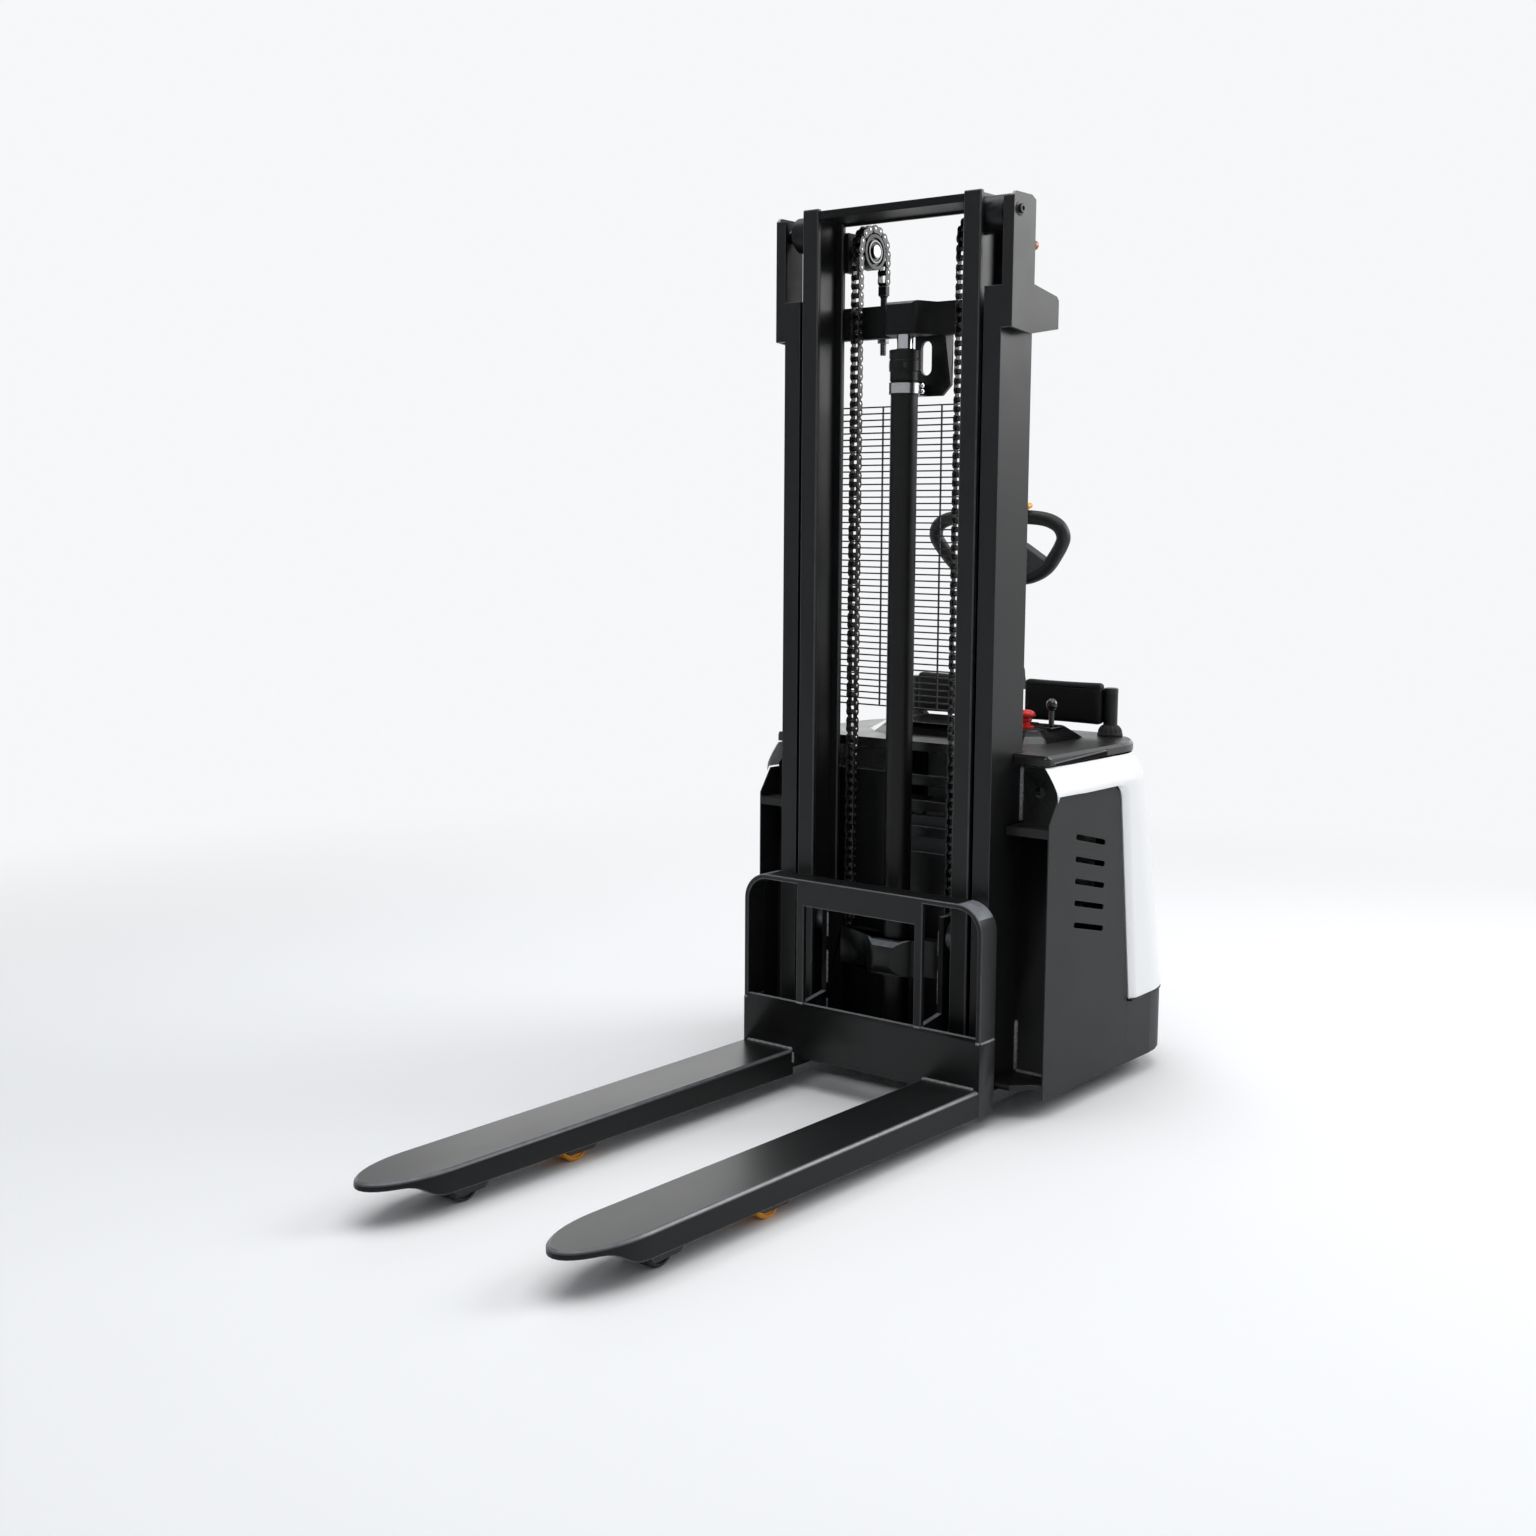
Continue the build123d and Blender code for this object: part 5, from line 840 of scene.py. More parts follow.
def stage_floor(colour):
    """Round floor that curves up into a pale wall on every side."""
    flat, bend, wall, steps = 8.0, 3.0, 9.0, 12
    bm = bmesh.new()
    turns = [math.pi / 2 * number / steps for number in range(steps + 1)]
    curve = [(flat + bend * math.sin(turn), bend - bend * math.cos(turn)) for turn in turns]
    turned(bm, [(0.0, 0.0), (flat / 2, 0.0)] + curve + [(flat + bend, wall)], steps=72)
    bmesh.ops.recalc_face_normals(bm, faces=bm.faces)
    mesh = bpy.data.meshes.new("stage_floor")
    bm.to_mesh(mesh)
    bm.free()
    for polygon in mesh.polygons:
        polygon.use_smooth = True
    mesh.materials.append(stage_finish(colour))
    floor = bpy.data.objects.new("stage_floor", mesh)
    bpy.context.scene.collection.objects.link(floor)


def soft_box(name, place, aim, size, power):
    """Flat lamp that faces a point."""
    lamp = bpy.data.lights.new(name, "AREA")
    lamp.shape = "RECTANGLE"
    lamp.size, lamp.size_y = size
    lamp.energy = power
    holder = bpy.data.objects.new(name, lamp)
    holder.location = place
    holder.rotation_euler = (Vector(aim) - Vector(place)).to_track_quat("-Z", "Y").to_euler()
    holder.visible_camera = False
    bpy.context.scene.collection.objects.link(holder)


def photo_camera(lens):
    """Camera at the photograph's place, height and angle."""
    yaw, pitch, roll = (math.radians(value) for value in (38.7333, 7.4838, 0.338))
    back = Vector((math.sin(yaw) * math.cos(pitch), -math.cos(yaw) * math.cos(pitch), math.sin(pitch)))
    right = (-back).cross(Vector((0, 0, 1))).normalized()
    up = right.cross(-back)
    level, rise = right * math.cos(roll) + up * math.sin(roll), up * math.cos(roll) - right * math.sin(roll)
    data = bpy.data.cameras.new("camera")
    data.sensor_width = 36.0
    data.lens = lens
    data.clip_end = 100.0
    camera = bpy.data.objects.new("camera", data)
    place = Vector((2.29907, HEEL - 3.17339, 1.24108))
    camera.matrix_world = Matrix((
        (level.x, rise.x, back.x, place.x), (level.y, rise.y, back.y, place.y),
        (level.z, rise.z, back.z, place.z), (0, 0, 0, 1),
    ))
    bpy.context.scene.collection.objects.link(camera)
    bpy.context.scene.camera = camera


class STACKER_OT_stage(bpy.types.Operator):
    """Lay the floor, hang the lights and set the camera"""

    bl_idname = "stacker.stage"
    bl_label = "Stage"

    def execute(self, context):
        scene = context.scene
        stage = scene.stacker_stage
        stage_floor(stage.floor)
        middle = (0.0, 0.1, 0.7)
        left_share = 0.13
        soft_box("overhead_box", (0.1, -0.2, 5.2), middle, (6.0, 6.0), stage.key)
        soft_box("right_rear_box", (2.75, 3.3, 3.0), middle, (2.4, 2.4), stage.side)
        soft_box("left_rear_box", (-2.9, 3.0, 1.7), middle, (2.4, 2.0), stage.side * left_share)
        world = bpy.data.worlds.new("studio_air")
        world.use_nodes = True
        air = world.node_tree.nodes["Background"]
        air.inputs["Color"].default_value = (0.96, 0.98, 1.0, 1.0)
        air.inputs["Strength"].default_value = 0.32
        scene.world = world
        scene.view_settings.view_transform = "Standard"
        photo_camera(stage.lens)
        return {"FINISHED"}


# Forks, carriage and mast


class STACKER_OT_forks(bpy.types.Operator):
    """Paint the forks and lay the welds at their heels"""

    bl_idname = "stacker.forks"
    bl_label = "Forks"

    def execute(self, context):
        radius = detail_mm("weld")
        edge, steep = 1.6, 0.15
        top = FORK_HIGH.z
        bm = bmesh.new()
        for side, sign in SIDES:
            node = f"fork_{side}"
            blade = painted(node, f"{node}_blade", "carriage", edge, finish=fork_paint)
            # The upright flanks get the duller copy of the paint: painted shade.
            second_finish(blade, fork_flank_paint(), lambda normal: abs(normal.z) < steep)
            inner, outer = sign * FORK_LOW.x, sign * FORK_HIGH.x
            bead(bm, (inner + sign * 2, -1.5, top + 0.5), (outer - sign * 12, -1.5, top + 0.5), radius)
            bead(bm, (inner, -2, top - 6), (inner, -2, top - 30), radius * 0.8)
        welded(bm, "fork_heel_welds", "carriage")
        return {"FINISHED"}


class STACKER_OT_carriage(bpy.types.Operator):
    """Paint the carriage and the load backrest, and lay their welds"""

    bl_idname = "stacker.carriage"
    bl_label = "Carriage"

    def execute(self, context):
        soft, radius = detail_mm("soft_edge"), detail_mm("weld")
        level = 0.99
        # The tie is bent tightly round the cylinder.
        plates = painted("carriage_frame", "carriage_plates", "carriage", soft, bends=TIE_BENDS, broad=TIE_CORNERS)
        # Faces that look straight up get the near-black finish: painted shade on their lit tops.
        second_finish(plates, greased_black(), lambda normal: normal.z > level)
        painted("load_backrest", "backrest_strap", "carriage", soft * 1.4)
        low, high = node_box("load_backrest")
        bar_inner, bar_outer, heel_top = 146, 164, 195.5
        seam_x, seam_y = 147.2, 91
        bm = bmesh.new()
        for sign in (-1, 1):
            outer = sign * high.x
            # Strap to side plate, bars to heel plate, and the roller plates' seams.
            bead(bm, (outer - sign * 0.5, 3, low.z), (outer - sign * 0.5, high.y - 3, low.z), radius * 0.7)
            bead(bm, (outer - sign * 1, -0.5, low.z), (outer - sign * 10, -0.5, low.z), radius * 0.7)
            for x in (bar_inner, bar_outer):
                bead(bm, (sign * x, 1, heel_top), (sign * x, 11, heel_top), radius * 0.6)
            bead(bm, (sign * bar_inner, 0.2, heel_top), (sign * bar_outer, 0.2, heel_top), radius * 0.6)
            for start, end in ((120, 190), (225, 300), (330, 385)):
                bead(bm, (sign * seam_x, seam_y, start), (sign * seam_x, seam_y, end), radius * 0.55)
        welded(bm, "carriage_welds", "carriage")
        return {"FINISHED"}


def socket_screw(bm, radius, turn):
    """Round socket head with a chamfered rim and a round recess, its seat at height 0."""
    height = radius * 0.9
    turned(bm, [(0, 0), (radius, 0), (radius, height * 0.8), (radius * 0.84, height), (radius * 0.55, height),
                (radius * 0.5, height * 0.45), (0, height * 0.4)], turn, steps=24)


def hex_nut(bm, radius, height, turn):
    """Six-sided nut with the round end of its shank, its seat at height 0."""
    before = set(bm.verts)
    made = bmesh.ops.create_circle(bm, cap_ends=True, segments=6, radius=radius)["verts"]
    faces = list({face for v in made for face in v.link_faces})
    drawn_out(bm, faces, (0, 0, height))
    round_off(bm, edges_of(fresh(bm, before)), radius * 0.08, 2)
    turned(bm, [(0, height), (radius * 0.55, height), (radius * 0.55, height * 1.35), (radius * 0.45, height * 1.45),
                (0, height * 1.45)], steps=16)
    bmesh.ops.transform(bm, matrix=turn, verts=fresh(bm, before))


class STACKER_OT_mast(bpy.types.Operator):
    """Paint the mast sections, ties and brackets, and fit their screws"""

    bl_idname = "stacker.mast"
    bl_label = "Mast"

    def execute(self, context):
        rolled, soft = detail_mm("rolled_edge"), detail_mm("soft_edge")
        inward = -0.9
        for side, sign in SIDES:
            painted(f"inner_mast_{side}", f"inner_post_{side}", "inner_mast", rolled)
            channel = painted(f"outer_mast_{side}", f"outer_channel_{side}", "chassis", rolled)
            # Faces inside the channels that look in towards the middle get the near-black finish: painted shade.
            second_finish(channel, greased_black(), lambda normal: normal.x * sign < inward)
        painted("inner_mast_ties", "inner_ties_and_yoke", "inner_mast", soft * 1.5, finish=tie_paint,
                bends=YOKE_BENDS, broad=YOKE_CORNERS)
        painted("outer_mast_ties", "anchor_beam_and_clamp", "chassis", soft)
        washers, screws, knob = bmesh.new(), bmesh.new(), bmesh.new()
        for sign in (-1, 1):
            facing = Matrix.Diagonal((sign, 1, 1, 1))
            socket_screw(screws, 9.0, facing @ shift(*BRACKET_SCREW) @ ALONG_X)
            turned(washers, [(0, 0), (14, 0), (14, 1.5), (10.5, 2.2), (10.5, 1.0), (0, 1.0)],
                   facing @ shift(*BRACKET_WASHER) @ ALONG_X, steps=28)
        turned(knob, [(0, -4), (5, -4), (5, 0), (9, 2), (10.5, 7), (9.5, 13), (6, 16), (0, 17)],
               shift(*BRACKET_KNOB) @ spun(-90, "X"), steps=28)
        settle(washers, "bracket_washers", "chassis", black_paint())
        settle(screws, "bracket_screws", "chassis", black_nylon())
        settle(knob, "bracket_knob", "chassis", bronze())
        return {"FINISHED"}


# Rollers and chains


def roller_form(bm, low, high, hub, steps=56, lip=1.5):
    """Roller along X between two corners: crowned rim, dished faces, an inner bearing ring."""
    radius = (high.z - low.z) / 2
    width = high.x - low.x
    rim = radius - max(5.0, radius * 0.2)
    ring = (rim + hub) / 2
    dish = min(3.0, width * 0.1)
    half = [(hub, 0.6), (ring - 0.6, 0.6), (ring - 0.3, dish), (ring + 0.3, dish), (rim - 1, dish), (rim, 0),
            (radius - lip, 0), (radius, lip)]
    other = [(r, width - h) for r, h in reversed(half)]
    turn = shift(low.x, (low.y + high.y) / 2, (low.z + high.z) / 2) @ ALONG_X
    turned(bm, half + other, turn, steps=steps, hollow=True)


def chain_wheel(bm, x):
    """Chain wheel: smooth rim under the links, dark dish and a bearing ring."""
    low, high = node_box("chain_rollers")
    radius = (high.z - low.z) / 2 - 0.2
    half = [(14.2, 0.8), (18.5, 0.8), (18.5, 3.4), (20.0, 3.4), (20.0, 0.0), (25.0, 0.0), (25.0, 4.5),
            (29.5, 4.5), (30.5, 0.0), (radius - 1.2, 0.0), (radius, 1.2)]
    other = [(r, WHEEL_WIDTH - h) for r, h in reversed(half)]
    turned(bm, half + other, shift(x - WHEEL_WIDTH / 2, WHEEL.y, WHEEL.z) @ ALONG_X, steps=56, hollow=True)


class STACKER_OT_rollers(bpy.types.Operator):
    """Turn the mast rollers, the chain wheels and their bright pins"""

    bl_idname = "stacker.rollers"
    bl_label = "Mast rollers"

    def execute(self, context):
        for node, faces in ROLLER_FACES.items():
            low, high = node_box(node)
            bm = bmesh.new()
            for sign in (-1, 1):
                start, end = span(sign, *faces)
                roller_form(bm, Vector((start, low.y, low.z)), Vector((end, high.y, high.z)), ROLLER_BORE)
            finish = head_roller_steel if node == "outer_mast_rollers" else roller_steel
            settle(bm, f"{node}_turned", node, finish(), (node,))
        wheels, rings, pins = bmesh.new(), bmesh.new(), bmesh.new()
        for sign in (-1, 1):
            chain_wheel(wheels, sign * CHAIN_X)
            turn = shift(sign * (CHAIN_X - WHEEL_WIDTH / 2), WHEEL.y, WHEEL.z) @ spun(-90 * sign, "Y")
            turned(rings, [(20.2, -2), (20.2, 0.5), (21, 1.0), (24, 1.0), (24.8, 0.5), (24.8, -2)], turn, hollow=True)
            turned(pins, [(0, 5.6), (6, 5.4), (11.4, 5.4), (13.9, 4.4), (14.0, 2.2), (0, 2.2)], turn, steps=40)
        settle(wheels, "chain_wheels", "chain_rollers", black_nylon(), ("chain_rollers",))
        settle(rings, "chain_wheel_bearings", "chain_rollers", ring_steel())
        settle(pins, "chain_wheel_pins", "inner_mast", bright_steel())
        return {"FINISHED"}


def link_form(outer):
    """Plates and rollers of a link from its pin at 0 to its pin at one pitch, as a mesh to repeat."""
    bm = bmesh.new()
    half = 9.0 if outer else 7.8
    near, far = (8.7, 11.0) if outer else (6.3, 8.6)
    turns = [math.pi * (1 + number / 4) for number in range(5)]
    ends = [(half * math.cos(turn), half * math.sin(turn)) for turn in turns]
    waist = half * 0.78
    outline = ends + [(waist, CHAIN_PITCH / 2)] + [(-y, CHAIN_PITCH - z) for y, z in ends]
    outline += [(-waist, CHAIN_PITCH / 2)]
    for sign in (-1, 1):
        plate(bm, outline, sign * near, sign * far, "X")
    if not outer:
        for z in (0, CHAIN_PITCH):
            turned(bm, [(0, -6.2), (5.3, -6.2), (5.9, -5.4), (5.9, 5.4), (5.3, 6.2), (0, 6.2)],
                   shift(0, 0, z) @ ALONG_X, steps=10)
    return repeated(bm)


def pin_form(outer):
    """Riveted ends of an outer link's two pins. An inner link has none."""
    bm = bmesh.new()
    if outer:
        for sign in (-1, 1):
            turn = spun(90 * sign, "Y")
            for z in (0, CHAIN_PITCH):
                turned(bm, [(3.7, 10.9), (3.7, 11.6), (2.8, 12.1), (0, 12.1)], shift(0, 0, z) @ turn, steps=8)
    return repeated(bm)


def repeated(bm):
    """Keep a drawn shape as a mesh that can be set many times."""
    bmesh.ops.recalc_face_normals(bm, faces=bm.faces)
    mesh = bpy.data.meshes.new("link")
    bm.to_mesh(mesh)
    bm.free()
    return mesh


def string_links(places, form):
    """Links set at their places, inner and outer by turns, on both sides of the mast."""
    forms = (form(False), form(True))
    bm = bmesh.new()
    for number, place in places:
        for sign in (-1, 1):
            start = len(bm.verts)
            bm.from_mesh(forms[number % 2])
            bm.verts.ensure_lookup_table()
            bmesh.ops.transform(bm, matrix=shift(sign * CHAIN_X, 0, 0) @ place, verts=bm.verts[start:])
    for kept in forms:
        bpy.data.meshes.remove(kept)
    return bm


def link_place(number):
    """Place of a link, counted from the carriage up, over the wheel and down."""
    wrap = number - FRONT_PITCHES
    if wrap < 0:
        return shift(0, WHEEL.y - CHAIN_RADIUS, WHEEL.z + wrap * CHAIN_PITCH)
    if wrap < TURN_PITCHES:
        angle = math.pi * (1 - wrap / TURN_PITCHES)
        turn = Matrix.Rotation(-math.pi / TURN_PITCHES * (wrap + 0.5), 4, "X")
        return shift(0, WHEEL.y + CHAIN_RADIUS * math.cos(angle), WHEEL.z + CHAIN_RADIUS * math.sin(angle)) @ turn
    height = WHEEL.z - (wrap - TURN_PITCHES) * CHAIN_PITCH
    return shift(0, WHEEL.y + CHAIN_RADIUS, height) @ Matrix.Rotation(math.pi, 4, "X")


class STACKER_OT_chains(bpy.types.Operator):
    """Link the lift chains: front runs, the turn over the wheels, rear runs and anchors"""

    bl_idname = "stacker.chains"
    bl_label = "Lift chains"

    def execute(self, context):
        for kind, form, finish in (("links", link_form, chain_steel()), ("pins", pin_form, pin_steel())):
            self.front_runs(kind, form, finish)
            self.rear_runs(kind, form, finish)
        anchors, studs = bmesh.new(), bmesh.new()
        y = WHEEL.y + CHAIN_RADIUS
        foot, rod, clevis, top = 1602, 1667, 1729, 1751
        crests, rise = 42, 1.5
        for sign in (-1, 1):
            x = sign * CHAIN_X
            place = shift(x, y, 0)
            slab(anchors, (x - 10.8, y - 7.4, clevis), (x + 10.8, y + 7.4, top), 2.4, 3)
            turned(anchors, [(0, rod), (7, rod), (7, clevis - 5), (9.4, clevis), (9.4, clevis + 2), (0, clevis + 2)],
                   place, steps=20)
            thread = [(7.0 if number % 2 else 6.3, foot + 3.5 + number * rise) for number in range(crests)]
            turned(studs, [(0, foot), (5.4, foot), (6.3, foot + 1.5)] + thread + [(6.3, rod + 2), (0, rod + 2)],
                   place, steps=20)
            for height in (1641, 1628):
                hex_nut(studs, 12.6, 11, shift(x, y, height))
        settle(anchors, "chain_anchor_clevises", "chassis", black_paint(), ("chain_anchor_rods",))
        settle(studs, "chain_anchor_studs", "chassis", stud_steel())
        return {"FINISHED"}

    def front_runs(self, kind, form, finish):
        """The run ahead of the wheel draws down into the carriage tie as the mast rises.

        The links beside and over the wheel stay with the inner mast.
        """
        beside, sunk = 6, 0.336
        stay = FRONT_PITCHES - beside
        bm = string_links([(number, link_place(number)) for number in range(stay)], form)
        run = settle(bm, f"chain_front_{kind}", "carriage", finish, ("lift_chain_fronts",), flat=False)
        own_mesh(run)
        count = FRONT_PITCHES + TURN_PITCHES + REAR_PITCHES
        bm = string_links([(number, link_place(number)) for number in range(stay, count)], form)
        settle(bm, f"chain_turn_{kind}", "inner_mast", finish, ("lift_chain_tops",), flat=False)

    def rear_runs(self, kind, form, finish):
        """Rear links lie folded in the anchor: spread evenly over the full lift, then squeezed into its depth."""
        low, depth, count = 1734.0, 25.5, 72
        slim = (0.84, 0.72, 1, 1)
        length = LIFT + depth
        places = [
            (number, shift(0, WHEEL.y + CHAIN_RADIUS, low + number * length / count) @ Matrix.Diagonal(slim))
            for number in range(count)
        ]
        bm = string_links(places, form)
        for v in bm.verts:
            part = min(1.0, max(0.0, (v.co.z - low) / length))
            v.co.z = low + depth * (0.5 - math.sin(math.asin(1 - 2 * part) / 3))
        rear = settle(bm, f"chain_rear_{kind}", None, finish, flat=False)
        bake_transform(rear)


class STACKER_OT_cylinder(bpy.types.Operator):
    """Turn the lift cylinder, its gland and its polished clamp band"""

    bl_idname = "stacker.cylinder"
    bl_label = "Lift cylinder"

    def execute(self, context):
        low, high = node_box("lift_cylinder")
        y = (low.y + high.y) / 2
        place = shift(0, y, 0)
        foot, gland, top = low.z, 1534, 1602
        bm = bmesh.new()
        turned(bm, [(24, foot + 20), (24, gland), (17.7, gland), (17.7, top), (19.5, top), (22.5, top - 2.5),
                    (31.5, top - 2.5), (33, top - 4), (33, 1582), (31.8, 1580.5), (31.8, 1578.5), (33, 1577),
                    (33, 1556), (31, 1554), (31, gland + 2), (29, gland), (29, foot + 16), (33, foot + 14),
                    (33, foot), (0, foot), (0, foot + 20)], place, steps=64, hollow=True)
        settle(bm, "lift_cylinder_tube", "chassis", cylinder_paint(), ("lift_cylinder",))
        notches = bmesh.new()
        for number in range(4):
            slab(notches, (31.9, -3.2, 1562), (33.25, 3.2, 1572), 0.5, 2, place @ spun(35 + 90 * number, "Z"))
        settle(notches, "gland_spanner_notches", "chassis", black_nylon())
        bands = bmesh.new()
        turned(bands, [(32.6, 1509), (33.7, 1509.6), (33.7, 1530.4), (32.6, 1531)], place, steps=64, hollow=True)
        settle(bands, "clamp_band_polished", "chassis", bright_steel())
        nuts = bmesh.new()
        for height in (1514, 1526):
            hex_nut(nuts, 5.2, 5, shift(33, y + 13, height) @ ALONG_X)
        settle(nuts, "clamp_nuts", "chassis", bright_steel())
        dress("piston_rod", rod_chrome())
        dress("mast_guard", guard_wire())
        return {"FINISHED"}


# Chassis, panels and hood


def panel_corner(gap):
    """Outline of the side panel from the front shoulder over its round corner to the rear foot."""
    top = PANEL_TOP + gap
    path = bent([(PANEL_SHOULDER, top, 0), (PANEL_CORNER + gap, top, 0), (PANEL_TAIL + gap, HOOD_FOOT, 0)],
                PANEL_ROUND + gap, 7, closed=False)
    return [(point.x, point.y) for point in path]


class STACKER_OT_chassis(bpy.types.Operator):
    """Paint the frame, legs, side panels and skirt, and lay the welds"""

    bl_idname = "stacker.chassis"
    bl_label = "Chassis"

    def execute(self, context):
        soft, radius = detail_mm("soft_edge"), detail_mm("weld")
        for node in ("chassis_frame", "drive_bridge"):
            painted(node, f"{node}_weldment", "chassis", soft, 2)
        painted("rear_skirt", "rear_skirt_band", "chassis", soft, 2, panel_paint, "panel_black")
        bm = bmesh.new()
        wing_x, wing_y, base_top = 274, 201.5, 79
        for side, sign in SIDES:
            node = f"support_leg_{side}"
            painted(node, f"{node}_bar", "chassis", soft, 2)
            self.side_panel(side, sign, soft)
            # Upright welds where the wing plate meets the mast, and along the base plate.
            for start, end in ((620, 735), (80, 190)):
                bead(bm, (sign * wing_x, wing_y, start), (sign * wing_x, wing_y, end), radius * 1.3)
            bead(bm, (sign * 276, wing_y, base_top), (sign * 366, wing_y, base_top), radius)
        welded(bm, "frame_welds", "chassis")
        return {"FINISHED"}

    def side_panel(self, side, sign, soft):
        """Sheet with a round upper corner and slanted slots."""
        bm = bmesh.new()
        rings = [[(PANEL_TAIL, PANEL_FOOT), (PANEL_FRONT, PANEL_FOOT), (PANEL_FRONT, PANEL_CHEST)] + panel_corner(0)]
        along = Vector((math.cos(SLOT_TILT), -math.sin(SLOT_TILT)))
        across = Vector((-along.y, along.x))
        for number in range(SLOT_COUNT):
            middle = Vector((SLOT_FIRST[0], SLOT_FIRST[1] - SLOT_STEP * number))
            ring = []
            for end, first in ((1, -90), (-1, 90)):
                for step in range(9):
                    angle = math.radians(first + 22.5 * step)
                    spot = middle + along * (SLOT_REACH * end + SLOT_RADIUS * math.cos(angle))
                    spot += across * (SLOT_RADIUS * math.sin(angle))
                    ring.append((spot.x, spot.y))
            rings.append(ring)
        edges = []
        for ring in rings:
            verts = [bm.verts.new((PANEL_INSIDE, y, z)) for y, z in ring]
            edges += [bm.edges.new(pair) for pair in zip(verts, verts[1:] + verts[:1])]
        bmesh.ops.triangle_fill(bm, use_beauty=True, use_dissolve=False, edges=edges)
        drawn_out(bm, list(bm.faces), (PANEL_SHEET, 0, 0))
        bmesh.ops.recalc_face_normals(bm, faces=bm.faces)
        merge_flat(bm, 0.5)
        rims = [edge for edge in bm.edges if edge.calc_face_angle(0) > 1.0]
        round_off(bm, rims, min(soft, 0.9), 2)
        if sign < 0:
            mirror_x(bm)
        settle(bm, f"side_panel_{side}_sheet", "chassis", panel_paint(), (f"side_panel_{side}",))


def hood_section(height):
    """Half width, rear end and corner radius of the hood at a height."""
    corner = 200.0
    if height <= HOOD_SHOULDER:
        foot_rear, lean = 791, 111.6
        part = (height - HOOD_FOOT) / (HOOD_SHOULDER - HOOD_FOOT)
        return HOOD_HALF, foot_rear - lean * part, corner
    shoulder_rear, lean, narrowing, tightening = 679.4, 27.4, 35, 34
    part = (height - HOOD_SHOULDER) / (HOOD_TOP - HOOD_SHOULDER)
    return HOOD_HALF - narrowing * part ** 1.35, shoulder_rear - lean * part ** 1.15, corner - tightening * part


def hood_loop(height, steps=20):
    """Outline of the hood's back at a height, from the right corner's start round to the left."""
    half, rear, corner = hood_section(height)
    path = []
    for step in range(steps + 1):
        angle = math.pi / 2 * step / steps
        path.append((half - corner + corner * math.cos(angle), rear - corner + corner * math.sin(angle), height))
    return path + [(-x, y, z) for x, y, z in reversed(path)]


